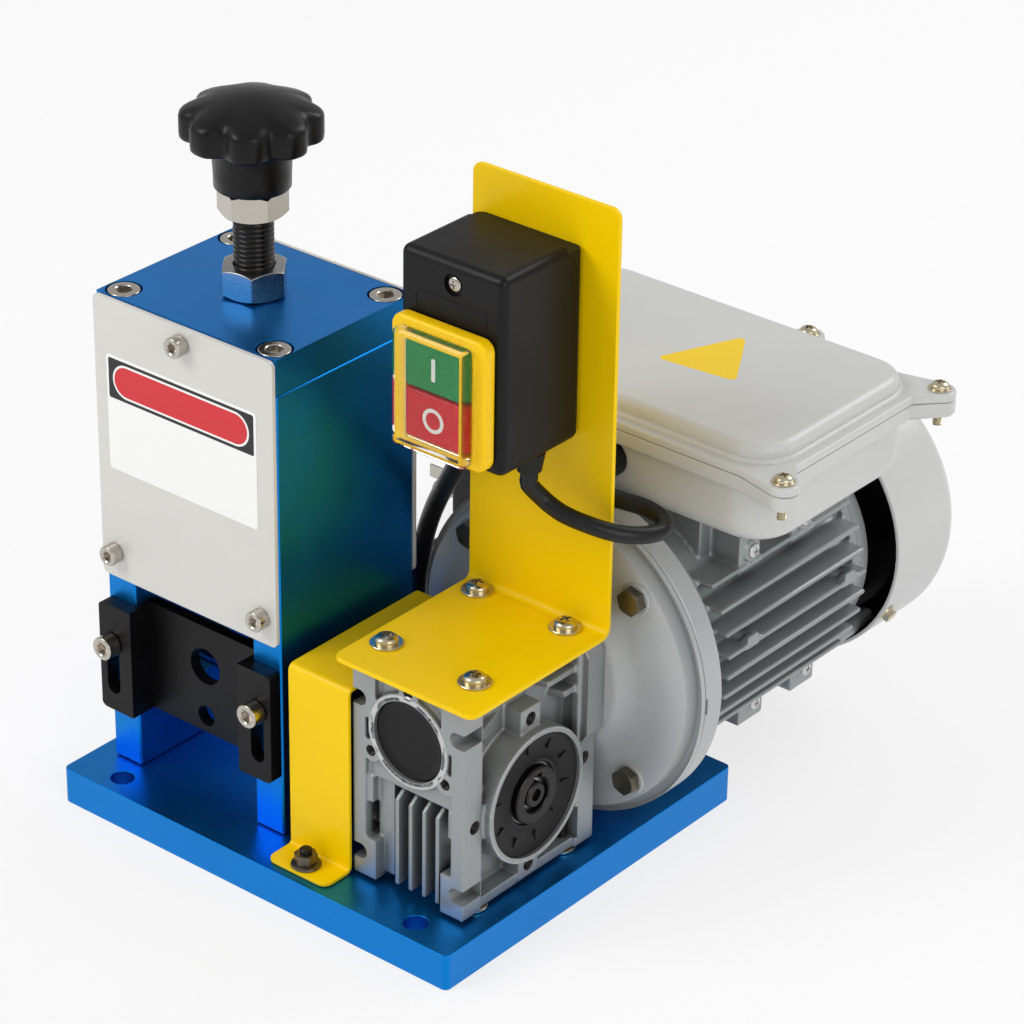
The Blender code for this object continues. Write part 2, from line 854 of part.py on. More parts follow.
def head_covers(finishes):
    """Front and rear sheet covers."""
    outline = rounded(rectangle(head_left, cover_bottom, head_right, head_top - seat_gap), cover_corner)
    holes = [circle(x, z, cover_hole_radius, 16) for name, x, z in cover_screw_places()]
    front = head_front - seat_gap
    prism("front_cover", [outline] + holes, "XZ", front - cover_thickness, front, finishes["sheet"])
    back = head_back + seat_gap
    prism("rear_cover", [outline], "XZ", back, back + cover_thickness, finishes["sheet"])


def socket_screw(name, x, z, face, head_radius, head_length, shank_radius, length, material):
    """A socket-head screw that runs back from a face."""
    chamfer = head_length / 10
    profile = [(0, head_length), (head_radius - chamfer, head_length), (head_radius, head_length - chamfer),
               (head_radius, 0), (shank_radius, 0), (shank_radius, -length), (0, -length)]
    screw = turned(name, profile, (x, face, z), (0, -1, 0), material, 16)
    key = prism(name + "_socket", [hexagon(x, z, socket_radius, math.pi / 16)], "XZ",
            face - head_length - overrun,
                face - head_length + socket_depth)
    cut(screw, key)


def head_screws(finishes):
    """Screws of the front cover and of the cable guide."""
    cover_face = head_front - 2 * seat_gap - cover_thickness
    reach = cover_screw_length - seat_gap - overrun
    for name, x, z in cover_screw_places():
        socket_screw(name, x, z, cover_face, cover_screw_head_radius, cover_screw_head_length,
                     cover_screw_shank_radius, reach, finishes["zinc"])
    reach = guide_ear_thickness + guide_screw_length - overrun
    for side, x in zip(("left", "right"), pillar_xs):
        socket_screw("guide_screw_" + side, x, guide_screw_z, guide_front - seat_gap, guide_screw_head_radius,
                     guide_screw_head_length, guide_screw_shank_radius, reach, finishes["zinc"])


def cable_guide(finishes):
    """Hat-shaped guide plate with two cable holes and a slot in each ear."""
    ear_left = head_left + guide_ear_side_gap
    ear_right = head_right - guide_ear_side_gap
    web_left = inner_left + seat_gap
    web_right = inner_right - seat_gap
    ear_back = head_front - seat_gap
    plate_face = head_front + guide_recess_depth
    plate_back = plate_face + guide_plate_thickness
    outline = [(ear_left, guide_front), (web_left + guide_web_thickness, guide_front),
               (web_left + guide_web_thickness, plate_face), (web_right - guide_web_thickness, plate_face),
               (web_right - guide_web_thickness, guide_front), (ear_right, guide_front), (ear_right,
                       ear_back),
               (web_right, ear_back), (web_right, plate_back), (web_left, plate_back), (web_left, ear_back),
               (ear_left, ear_back)]
    top = guide_low + guide_height
    guide = prism("cable_guide", [outline], "XY", guide_low, top, finishes["black_steel"])
    shape = rounded(rectangle(ear_left - seat_gap, guide_low, ear_right + seat_gap, top), guide_corner)
    keep_inside(guide, prism("guide_corners", [shape], "XZ", guide_front - overrun, plate_back + overrun))
    for name, rise, radius in (("large_cable_hole", large_hole_rise, large_hole_radius),
                               ("small_cable_hole", small_hole_rise, small_hole_radius)):
        z = guide_low + rise
        cut(guide, rod(name, (head_mid_x, guide_front - overrun, z), (head_mid_x, plate_back + overrun,
                z), radius))
    for side, x in zip(("left", "right"), pillar_xs):
        slot = rounded(rectangle(x - slot_radius, guide_screw_z - guide_travel - slot_radius, x + slot_radius,
                                 guide_screw_z + slot_radius), slot_radius * slot_round_share)
        cut(guide, prism("guide_slot_" + side, [slot], "XZ", guide_front - overrun, ear_back + overrun))
    hang(pivot("guide_slide", (head_mid_x, guide_front, guide_low)), guide)


def drive_line(finishes):
    """Shaft, bearings and toothed feed roller on the gearbox's output axis."""
    for side, inner, sign in (("left", inner_left, -1), ("right", inner_right, 1)):
        width = bearing_width
        profile = [(bearing_radius, 0), (bearing_radius, -width), (drive_shaft_radius + seat_gap, -width),
                   (drive_shaft_radius + seat_gap, 0)]
        turned("drive_bearing_" + side, profile, (inner, head_mid_y, drive_z), (-sign, 0, 0),
                finishes["steel"], 24,
               ring=True)
    start = inner_left - bearing_width + seat_gap
    end = gear_right + output_ring_reach - overrun
    shaft = rod("drive_shaft", (start, head_mid_y, drive_z), (end, head_mid_y, drive_z), drive_shaft_radius,
                finishes["steel"], 24)
    soften(shaft, edge_break, 1)
    teeth = []
    for index in range(roller_teeth):
        angle = math.tau * index / roller_teeth
        half = math.pi / roller_teeth
        for radius, turn in ((roller_radius, angle), (roller_radius - roller_tooth_depth, angle + half)):
            teeth.append((head_mid_y + radius * math.cos(turn), drive_z + radius * math.sin(turn)))
    bore = circle(head_mid_y, drive_z, drive_shaft_radius + seat_gap, 24)
    half_width = roller_width / 2
    roller = prism("feed_roller", [teeth, bore], "YZ", head_mid_x - half_width, head_mid_x + half_width,
                   finishes["steel"])
    return shaft, roller


def worm_gear(finishes):
    """Bronze wheel on the output sleeve, with teeth that lean to the worm's lead."""
    wheel_radius = worm_distance - worm_pitch_radius
    outside = wheel_radius + tooth_reach
    inside = wheel_radius - tooth_reach - tooth_clearance
    step = math.tau / wheel_teeth
    lean = worm_pitch * math.asin(wheel_width / 2 / worm_pitch_radius) / math.tau / wheel_radius
    rings = []
    for side in (-1, 1):
        ring = []
        for index in range(wheel_teeth):
            middle = math.pi / 2 + step * (index + 0.5) + side * lean
            for radius, share in ((inside, -tooth_share / 2 - tooth_taper_share / 2),
                                  (outside, -tooth_share / 2 + tooth_taper_share / 2),
                                  (outside, tooth_share / 2 - tooth_taper_share / 2),
                                  (inside, tooth_share / 2 + tooth_taper_share / 2)):
                angle = middle + share * step
                ring.append((gear_mid_x + side * wheel_width / 2, head_mid_y + radius * math.cos(angle),
                             drive_z + radius * math.sin(angle)))
        rings.append(ring)
    wheel = lofted("worm_wheel", rings, finishes["bronze"])
    reach = gear_width / 2
    cut(wheel, rod("wheel_bore", (gear_mid_x - reach, head_mid_y, drive_z), (gear_mid_x + reach,
            head_mid_y, drive_z),
                   sleeve_radius + seat_gap))
    return wheel


def output_sleeve(finishes):
    """Hollow output shaft with a keyway, flush with the gearbox's rings."""
    reach = gear_width / 2 + output_ring_reach
    bore = drive_shaft_radius + seat_gap
    half_key = sleeve_key_width / 2
    key_top = drive_shaft_radius + sleeve_key_rise
    inside = []
    first = math.asin(half_key / bore)
    for index in range(21):
        angle = math.pi / 2 + first + (math.tau - 2 * first) * index / 20
        inside.append((head_mid_y + bore * math.cos(angle), drive_z + bore * math.sin(angle)))
    inside += [(head_mid_y + half_key, drive_z + key_top), (head_mid_y - half_key, drive_z + key_top)]
    outside = circle(head_mid_y, drive_z, sleeve_radius, 28)
    sleeve = prism("output_sleeve", [outside, inside], "YZ", gear_mid_x - reach, gear_mid_x + reach,
                   finishes["steel"])
    return sleeve


def helix_ridge(name, start, turns, pitch, root, tip, foot_half, crest_half, steps=12):
    """A thread ridge wound round an axis that runs along Y."""
    rings = []
    for index in range(turns * steps):
        turn = (index + 0.5) / steps
        angle = math.tau * turn
        along = start[1] + pitch * turn
        section = ((root, -foot_half), (tip, -crest_half), (tip, crest_half), (root, foot_half))
        rings.append([(start[0] + radius * math.sin(angle), along + shift,
                start[2] + radius * math.cos(angle))
                      for radius, shift in section])
    return lofted(name, rings)


def worm_shaft(finishes):
    """Worm with a single thread and a hollow rear end that takes the motor's shaft."""
    core = worm_pitch_radius - tooth_reach - tooth_clearance
    tip = worm_pitch_radius + tooth_reach
    half_thread = worm_turns * worm_pitch / 2
    front = gear_front + worm_cap_recess + worm_cap_thickness + seat_gap
    back = flange_face - seat_gap
    thread_end = half_thread + worm_pitch / 2
    profile = [(0, head_mid_y - front), (worm_front_radius, head_mid_y - front),
               (worm_front_radius, thread_end), (core, thread_end - worm_pitch / 2), (core, -thread_end),
               (worm_sleeve_radius, -thread_end - worm_pitch / 2), (worm_sleeve_radius, head_mid_y - back),
               (0, head_mid_y - back)]
    worm = turned("worm_shaft", profile, (gear_mid_x, head_mid_y, motor_z), (0, -1, 0), finishes["steel"], 20)
    foot_half = worm_pitch * (tooth_share + tooth_taper_share * 1.3) / 2
    crest_half = worm_pitch * (tooth_share - tooth_taper_share) / 2
    start = (gear_mid_x, head_mid_y - half_thread, motor_z)
    ridge = helix_ridge("worm_thread", start, worm_turns, worm_pitch, core - worm_core_margin, tip, foot_half,
                        crest_half)
    join(worm, ridge)
    bore_end = flange_face - motor_flange_depth - overrun
    cut(worm, rod("worm_shaft_bore", (gear_mid_x, bore_end, motor_z), (gear_mid_x, back + overrun, motor_z),
                  motor_shaft_radius + seat_gap))
    return worm


def gearbox_front(housing):
    """Worm bearing ring, its lugs and the vertical fins on the front face."""
    recess_low = (gear_left + front_recess_margin, gear_front - overrun, gear_base + front_fin_top)
    recess_high = (gear_right - front_recess_margin, gear_front + side_recess_depth,
            gear_top - side_recess_margin)
    cut(housing, block("front_recess", recess_low, recess_high))
    deep = gear_front + side_recess_depth + overrun
    join(housing, rod("worm_ring", (gear_mid_x, gear_front, motor_z), (gear_mid_x, deep, motor_z),
                      worm_ring_radius, sides=28))
    for index in range(3):
        angle = math.pi / 2 + math.tau * index / 3
        x = gear_mid_x + worm_lug_circle * math.cos(angle)
        z = motor_z + worm_lug_circle * math.sin(angle)
        join(housing, rod("worm_lug_%d" % index, (x, gear_front + seat_gap, z), (x, deep, z), worm_lug_radius,
                          sides=10))
        cut(housing, rod("worm_lug_hole_%d" % index, (x, gear_front - overrun, z),
                         (x, gear_front + worm_lug_hole_depth, z), worm_lug_hole_radius, sides=8))
    span = gear_width - 2 * foot_pocket_width
    pitch = (span - front_fin_thickness) / (front_fins - 1)
    for index in range(front_fins - 1):
        low_x = gear_left + foot_pocket_width + front_fin_thickness + pitch * index
        low = (low_x, gear_front - overrun, gear_base + foot_thickness)
        high = (low_x + pitch - front_fin_thickness, gear_front + front_fin_slot_depth,
                gear_base + front_fin_top - front_fin_thickness)
        cut(housing, block("front_fin_slot_%d" % index, low, high))


def gearbox_sides(housing):
    """Output rings, threaded lobes and recesses on both sides."""
    for side, face, sign in (("left", gear_left, -1), ("right", gear_right, 1)):
        inner = face - sign * side_recess_depth
        outer = face + sign * overrun
        low = (min(inner, outer), gear_front + side_recess_margin, gear_base + foot_thickness)
        high = (max(inner, outer), gear_back - side_recess_margin, gear_top - foot_thickness)
        cut(housing, block("side_recess_" + side, low, high))
        root = inner - sign * overrun
        ring_face = face + sign * output_ring_reach
        join(housing, rod("output_ring_" + side, (root, head_mid_y, drive_z), (ring_face, head_mid_y,
                drive_z),
                          output_ring_radius, sides=32))
        for index in range(4):
            angle = math.tau * index / 4
            y = head_mid_y + output_lobe_circle * math.cos(angle)
            z = drive_z + output_lobe_circle * math.sin(angle)
            name = "output_lobe_%s_%d" % (side, index)
            join(housing, rod(name, (root, y, z), (face - sign * seat_gap, y, z), output_lobe_radius,
                    sides=10))
            cut(housing, rod(name + "_hole", (face - sign * output_thread_depth, y, z),
                    (face + sign * overrun, y, z),
                             output_thread_radius, sides=8))
        rib_gap = (gear_top - foot_thickness - motor_z) / 3
        for index in range(3):
            z = motor_z + rib_gap * index
            tip = face - sign * seat_gap
            low = (min(root, tip), gear_front + side_recess_margin * rib_start_share, z)
            high = (max(root, tip), head_mid_y - worm_bore_radius, z + front_fin_thickness)
            join(housing, block("side_rib_%s_%d" % (side, index), low, high))


def gearbox_housing(finishes):
    """Cast housing bored for the wheel and for the worm."""
    housing = block("gearbox_housing", (gear_left, gear_front, gear_base), (gear_right, gear_back, gear_top),
                    finishes["casting"])
    soften(housing, gear_corner, 1)
    gearbox_front(housing)
    gearbox_sides(housing)
    for x in (gear_mid_x - foot_hole_pitch_x / 2, gear_mid_x + foot_hole_pitch_x / 2):
        for y in (head_mid_y - foot_hole_pitch_y / 2, head_mid_y + foot_hole_pitch_y / 2):
            side = "left" if x < gear_mid_x else "right"
            end = "front" if y < head_mid_y else "back"
            name = "foot_" + end + "_" + side
            cut(housing, rod(name + "_hole", (x, y, gear_base - overrun), (x, y,
                    gear_base + foot_thickness + overrun),
                             foot_hole_radius, sides=8))
            outer = gear_left - overrun if side == "left" else gear_right + overrun
            inner = gear_left + foot_pocket_width if side == "left" else gear_right - foot_pocket_width
            low = (min(inner, outer), y - foot_pocket_width / 2, gear_base + foot_thickness)
            high = (max(inner, outer), y + foot_pocket_width / 2,
                    gear_base + foot_thickness + foot_pocket_height)
            cut(housing, block(name + "_pocket", low, high))
            cut(housing, rod(name + "_top_hole", (x, y, gear_top - foot_thickness - overrun), (x, y,
                    gear_top + overrun),
                             foot_hole_radius, sides=8))
    reach = gear_width / 2 + output_ring_reach + overrun
    cut(housing, rod("wheel_chamber", (gear_mid_x - reach, head_mid_y, drive_z), (gear_mid_x + reach,
            head_mid_y, drive_z),
                     output_bore_radius, sides=32))
    cut(housing, rod("worm_chamber", (gear_mid_x, gear_front - overrun, motor_z), (gear_mid_x,
            gear_back + overrun, motor_z),
                     worm_bore_radius, sides=24))
    cap_floor = gear_front + worm_cap_recess + worm_cap_thickness + seat_gap
    cut(housing, rod("worm_cap_seat", (gear_mid_x, gear_front - overrun, motor_z), (gear_mid_x,
            cap_floor, motor_z),
                     worm_cap_radius + seat_gap, sides=28))
    return housing


def gearbox_trims(finishes):
    """Seals, worm end cap and the spacers under the feet."""
    for side, face, sign in (("left", gear_left - output_ring_reach, -1), ("right",
            gear_right + output_ring_reach, 1)):
        outer = output_bore_radius - seat_gap
        profile = [(outer, -seal_recess), (outer, -seal_recess - seal_thickness),
                   (seal_bore_radius, -seal_recess - seal_thickness), (seal_bore_radius, -seal_recess)]
        turned("output_seal_" + side, profile, (face, head_mid_y, drive_z), (sign, 0, 0),
                finishes["black_rubber"], 28,
               ring=True)
    start = gear_front + worm_cap_recess
    cap = rod("worm_end_cap", (gear_mid_x, start, motor_z), (gear_mid_x, start + worm_cap_thickness, motor_z),
              worm_cap_radius, finishes["black_plastic"], 24)
    soften(cap, edge_break, 1)
    for side, x in (("left", gear_mid_x - foot_hole_pitch_x / 2), ("right",
            gear_mid_x + foot_hole_pitch_x / 2)):
        for end, y in (("front", head_mid_y - foot_hole_pitch_y / 2), ("back",
                head_mid_y + foot_hole_pitch_y / 2)):
            profile = [(spacer_radius, foot_spacer - seat_gap), (spacer_radius, seat_gap),
                       (foot_hole_radius, seat_gap), (foot_hole_radius, foot_spacer - seat_gap)]
            turned("foot_spacer_" + end + "_" + side, profile, (x, y, plate_thickness), (0, 0, 1),
                    finishes["zinc"],
                   12, ring=True)


def flanges(finishes):
    """Dished gearbox flange and the motor's front end shield."""
    rim = gear_flange_rim
    depth = flange_face - gear_back - seat_gap
    bore = gear_flange_bore_radius
    profile = [(gear_flange_hub_radius, depth), (flange_radius - gear_flange_chamfer, gear_flange_rise),
               (flange_radius, rim), (flange_radius, 0), (bore, 0), (bore, depth)]
    gear_side = turned("gearbox_flange", profile, (gear_mid_x, flange_face, motor_z), (0, -1, 0),
                       finishes["casting"], 48, ring=True)
    throat = motor_flange_throat
    chamfer = motor_flange_chamfer
    bore = motor_flange_bore_radius
    back = motor_flange_depth
    profile = [(flange_radius - chamfer, -seat_gap), (flange_radius, -seat_gap - chamfer),
               (flange_radius, -motor_flange_rim), (flange_radius - chamfer, -motor_flange_rim - chamfer),
               (throat, -motor_flange_rim - chamfer - seat_gap), (throat, -back), (bore, -back), (bore,
                       -seat_gap)]
    motor_side = turned("motor_flange", profile, (gear_mid_x, flange_face, motor_z), (0, -1, 0),
                        finishes["casting"], 48, ring=True)
    for index in range(4):
        angle = math.pi / 4 + math.tau * index / 4
        x = gear_mid_x + flange_bolt_circle * math.cos(angle)
        z = motor_z + flange_bolt_circle * math.sin(angle)
        front = flange_face - gear_flange_rise * 2
        back_end = flange_face + motor_flange_rim + overrun
        bolt = rod("flange_bolt_hole_%d" % index, (x, front, z), (x, back_end, z), flange_bolt_radius,
                sides=10)
        cut(gear_side, bolt)
        cut(motor_side, bolt)


def finned_outline():
    """Section of the motor's body: a round core with straight fins on four sides."""
    outline = []
    half = motor_fin_thickness / 2
    for quarter in range(4):
        turn = math.pi / 2 * quarter
        for index in range(motor_fins):
            offset = (index - (motor_fins - 1) / 2) * motor_fin_pitch
            root_low = math.sqrt(motor_core_radius ** 2 - (offset - half) ** 2)
            root_high = math.sqrt(motor_core_radius ** 2 - (offset + half) ** 2)
            tip = math.sqrt(motor_fin_radius ** 2 - (abs(offset) + half) ** 2)
            for out, across in ((root_low, offset - half), (tip, offset - half), (tip, offset + half),
                                (root_high, offset + half)):
                x = out * math.cos(turn) - across * math.sin(turn)
                z = out * math.sin(turn) + across * math.cos(turn)
                outline.append((gear_mid_x + x, motor_z + z))
    return outline


def motor_housing(finishes):
    """Finned body with a seat for the terminal box and two pairs of foot lugs."""
    bore = circle(gear_mid_x, motor_z, motor_bore_radius, 36)
    body = prism("motor_housing", [finned_outline(), bore], "XZ", body_front, body_back, finishes["casting"])
    pad_low = (gear_mid_x - motor_pad_width / 2, body_front + motor_pad_margin, motor_z + motor_bore_radius
               + overrun)
    pad_high = (gear_mid_x + motor_pad_width / 2, body_front + motor_pad_margin + motor_pad_length,
                motor_z + motor_pad_rise)
    join(body, block("motor_pad", pad_low, pad_high))
    for side in (-1, 1):
        for end, y in (("front", body_front + motor_lug_inset), ("back", body_back - motor_lug_inset)):
            x = gear_mid_x + side * motor_lug_out
            name = "motor_lug_%s_%s" % (end, "left" if side < 0 else "right")
            low = (x - motor_lug_width / 2, y - motor_lug_length / 2, motor_z - motor_lug_drop)
            high = (x + motor_lug_width / 2, y + motor_lug_length / 2,
                    motor_z - motor_lug_drop + motor_lug_height)
            join(body, block(name, low, high))
            cut(body, rod(name + "_hole", (x, y, low[2] - overrun), (x, y, low[2] + motor_lug_height / 2),
                          motor_lug_hole_radius, sides=12))
    return body


def motor_inside(finishes):
    """Stator, rotor with its shaft, rear end shield and cooling fan."""
    middle = (body_front + body_back) / 2
    half = stator_length / 2
    outer = motor_bore_radius - seat_gap
    profile = [(outer, half), (outer, -half), (stator_bore_radius, -half), (stator_bore_radius, half)]
    turned("motor_stator", profile, (gear_mid_x, middle, motor_z), (0, -1, 0), finishes["winding"], 28,
            ring=True)
    shaft_front = flange_face - motor_flange_depth
    shaft_back = shield_back + fan_length + fan_back_gap
    rotor_radius = stator_bore_radius - rotor_air_gap
    core = half - rotor_end_margin
    shoulder = motor_flange_bore_radius * shaft_shoulder_share
    back_radius = rear_shaft_radius
    profile = [(0, middle - shaft_front), (motor_shaft_radius, middle - shaft_front),
               (motor_shaft_radius, middle - flange_face - seat_gap), (shoulder,
                       middle - flange_face - seat_gap),
               (shoulder, core + overrun), (rotor_radius, core), (rotor_radius, -core),
               (back_radius, -core - overrun), (back_radius, middle - shaft_back), (0, middle - shaft_back)]
    rotor = turned("motor_rotor", profile, (gear_mid_x, middle, motor_z), (0, -1, 0), finishes["steel"], 24)
    return rotor


def rear_end_shield(finishes):
    """Rear bearing cover with four lugs that carry the fan cover."""
    start = body_back + seat_gap
    depth = end_shield_thickness
    bore = end_shield_bore_radius
    profile = [(end_shield_radius, 0), (end_shield_radius, -depth), (bore, -depth), (bore, 0)]
    shield = turned("motor_end_shield", profile, (gear_mid_x, start, motor_z), (0, -1, 0),
            finishes["casting"], 40,
                    ring=True)
    lug_top = fan_cover_radius - fan_cover_wall - seat_gap
    for index in range(4):
        angle = math.pi / 4 + math.tau * index / 4
        name = "fan_cover_lug_%d" % index
        inner = end_shield_radius - end_shield_lug_depth
        form = bmesh.new()
        bmesh.ops.create_cube(form, size=1)
        length = cover_front + end_shield_lug_reach - start - seat_gap
        bmesh.ops.scale(form, vec=(lug_top - inner, length, end_shield_lug_width), verts=form.verts)
        out = Matrix.Translation(((lug_top + inner) / 2, 0, 0))
        turn = Matrix.Rotation(angle, 4, "Y")
        place = Matrix.Translation((gear_mid_x, start + seat_gap + length / 2, motor_z))
        bmesh.ops.transform(form, matrix=place @ turn @ out, verts=form.verts)
        join(shield, link_form(name, form))
    round_stock = rod("end_shield_round", (gear_mid_x, start - overrun, motor_z),
                      (gear_mid_x, cover_back, motor_z), lug_top, sides=40)
    keep_inside(shield, round_stock)


def fan_cover(finishes):
    """Pressed cover with a rounded back and radial air slots."""
    wall = fan_cover_wall
    outer = fan_cover_radius
    length = fan_cover_length
    bend = fan_cover_round
    steps = 3
    outside = []
    inside = []
    for index in range(steps + 1):
        angle = math.pi / 2 * index / steps
        outside.append((outer - bend + bend * math.cos(angle), -length + bend - bend * math.sin(angle)))
        inside.append((outer - bend + (bend - wall) * math.cos(angle),
                       -length + bend - (bend - wall) * math.sin(angle)))
    profile = [(outer, 0)] + outside + [(0, -length), (0,
            -length + wall)] + inside[::-1] + [(outer - wall, 0)]
    cover = turned("fan_cover", profile, (gear_mid_x, cover_front, motor_z), (0, -1, 0),
            finishes["grey_paint"],
                   40, ring=True)
    for index in range(fan_slot_count):
        angle = math.tau * index / fan_slot_count
        start = Vector((math.cos(angle), math.sin(angle))) * fan_slot_inner
        end = Vector((math.cos(angle), math.sin(angle))) * fan_slot_outer
        across = Vector((-math.sin(angle), math.cos(angle))) * fan_slot_width / 2
        centre = Vector((gear_mid_x, motor_z))
        corners = [start - across, end - across, end + across, start + across]
        slot = [tuple(centre + corner) for corner in corners]
        cut(cover, prism("air_slot_%d" % index, [slot], "XZ", cover_back - wall - overrun,
                cover_back + overrun))
    return cover


def cooling_fan(finishes):
    """Straight-bladed fan on the rotor's rear end."""
    start = shield_back + seat_gap + fan_back_gap
    end = start + fan_length
    fan = rod("cooling_fan", (gear_mid_x, start, motor_z), (gear_mid_x, end, motor_z), fan_hub_radius,
              finishes["black_plastic"], 24)
    for index in range(fan_blades):
        angle = math.tau * index / fan_blades
        form = bmesh.new()
        bmesh.ops.create_cube(form, size=1)
        inner = fan_hub_radius - fan_blade_thickness
        bmesh.ops.scale(form, vec=(fan_radius - inner, fan_length - seat_gap, fan_blade_thickness),
                verts=form.verts)
        out = Matrix.Translation(((fan_radius + inner) / 2, 0, 0))
        turn = Matrix.Rotation(angle, 4, "Y")
        place = Matrix.Translation((gear_mid_x, (start + end) / 2, motor_z))
        bmesh.ops.transform(form, matrix=place @ turn @ out, verts=form.verts)
        join(fan, link_form("fan_blade_%d" % index, form))
    cut(fan, rod("fan_bore", (gear_mid_x, start - overrun, motor_z), (gear_mid_x, end + overrun, motor_z),
                 rear_shaft_radius + seat_gap, sides=24))
    return fan


def terminal_box(finishes):
    """Deep box with rounded foot, corner ears and an opening under the lid."""
    outline = rounded(rectangle(box_left, box_front, box_right, box_back), box_corner, 5)
    box = prism("terminal_box", [outline], "XY", box_base, box_top - box_rim_height / 2,
            finishes["grey_paint"])
    foot = rounded(rectangle(box_front, box_base, box_back, box_top + box_foot_round),
                   [box_foot_round, box_foot_round, 0, 0], 4)
    keep_inside(box, prism("box_foot_sides", [foot], "YZ", box_left - overrun, box_right + overrun))
    foot = rounded(rectangle(box_left, box_base, box_right, box_top + box_foot_round),
                   [box_foot_round, box_foot_round, 0, 0], 4)
    keep_inside(box, prism("box_foot_ends", [foot], "XZ", box_front - overrun, box_back + overrun))
    join(box, prism("box_rim", [eared_outline()], "XY", box_top - box_rim_height, box_top))
    wall = box_wall
    room = rounded(rectangle(box_left + wall, box_front + wall, box_right - wall, box_back - wall),
                   box_corner - wall, 5)
    cut(box, prism("box_room", [room], "XY", box_base + box_foot_round, box_top + overrun))
    gland_x = box_left + box_width * gland_place_share
    gland_z = box_base + gland_height
    cut(box, rod("gland_hole", (gland_x, box_front - overrun, gland_z), (gland_x,
            box_front + wall + overrun, gland_z),
                 gland_radius * gland_hole_share, sides=20))
    return box


def ear_places():
    """Corner screw places of the terminal box, anticlockwise from the front left, as (x, y)."""
    low_x = box_left - box_ear_out_x
    high_x = box_right + box_ear_out_x
    low_y = box_front - box_ear_out_y
    high_y = box_back + box_ear_out_y
    return [(low_x, low_y), (high_x, low_y), (high_x, high_y), (low_x, high_y)]


def eared_outline():
    """Rim of the box and of its lid: straight sides that flare into a round ear at each corner."""
    over = lid_rim_overhang
    corners = rectangle(box_left - over, box_front - over, box_right + over, box_back + over)
    outline = []
    for index, (corner, ear) in enumerate(zip(corners, ear_places())):
        corner = Vector(corner)
        ear = Vector(ear)
        come = (Vector(corners[index - 1]) - corner).normalized()
        leave = (Vector(corners[(index + 1) % 4]) - corner).normalized()
        before = corner + come * (box_ear_reach_x if abs(come.x) > abs(come.y) else box_ear_reach_y)
        after = corner + leave * (box_ear_reach_x if abs(leave.x) > abs(leave.y) else box_ear_reach_y)
        to_ear = ear - before
        from_ear = ear - after
        first = math.atan2(to_ear.y, to_ear.x) - math.asin(box_ear_radius / to_ear.length) - math.pi / 2
        last = math.atan2(from_ear.y, from_ear.x) + math.asin(box_ear_radius / from_ear.length) + math.pi / 2
        sweep = (last - first) % math.tau
        outline.append(tuple(before))
        for step in range(9):
            angle = first + sweep * step / 8
            outline.append((ear.x + box_ear_radius * math.cos(angle),
                    ear.y + box_ear_radius * math.sin(angle)))
        outline.append(tuple(after))
    return outline


def terminal_lid(finishes):
    """Stepped lid with a rim, four ears and a raised middle."""
    base = box_top + seat_gap
    lid = prism("terminal_lid", [eared_outline()], "XY", base, base + lid_rim_thickness,
            finishes["grey_paint"])
    top = base + lid_rise
    raised = rounded(rectangle(box_left, box_front, box_right, box_back), lid_corner, 5)
    crown = prism("lid_crown", [raised], "XY", base + lid_rim_thickness / 2, top)
    soften(crown, lid_round, 3)
    join(lid, crown)
    wall = lid_wall
    room = rounded(rectangle(box_left + wall, box_front + wall, box_right - wall, box_back - wall),
                   lid_corner - wall, 5)
    cut(lid, prism("lid_room", [room], "XY", base - overrun, top - wall))
    return lid


def box_fittings(finishes):
    """Run capacitor inside the box and the cable gland in its front wall."""
    z = box_base + box_foot_round + capacitor_radius + seat_gap
    y = box_back - capacitor_inset - capacitor_radius
    start = gear_mid_x - capacitor_length / 2
    can = rod("run_capacitor", (start, y, z), (start + capacitor_length, y, z), capacitor_radius,
              finishes["sheet"], 28)
    soften(can, edge_break, 1)
    gland_x = box_left + box_width * gland_place_share
    gland_z = box_base + gland_height
    profile = [(link_radius + seat_gap, gland_length), (gland_radius * gland_tip_share, gland_length),
               (gland_radius, gland_length - edge_break * 2), (gland_radius, 0),
               (link_radius + seat_gap, 0)]
    gland = turned("motor_cable_gland", profile, (gland_x, box_front - seat_gap, gland_z), (0, -1, 0),
                   finishes["black_plastic"], 24, ring=True)
    return gland


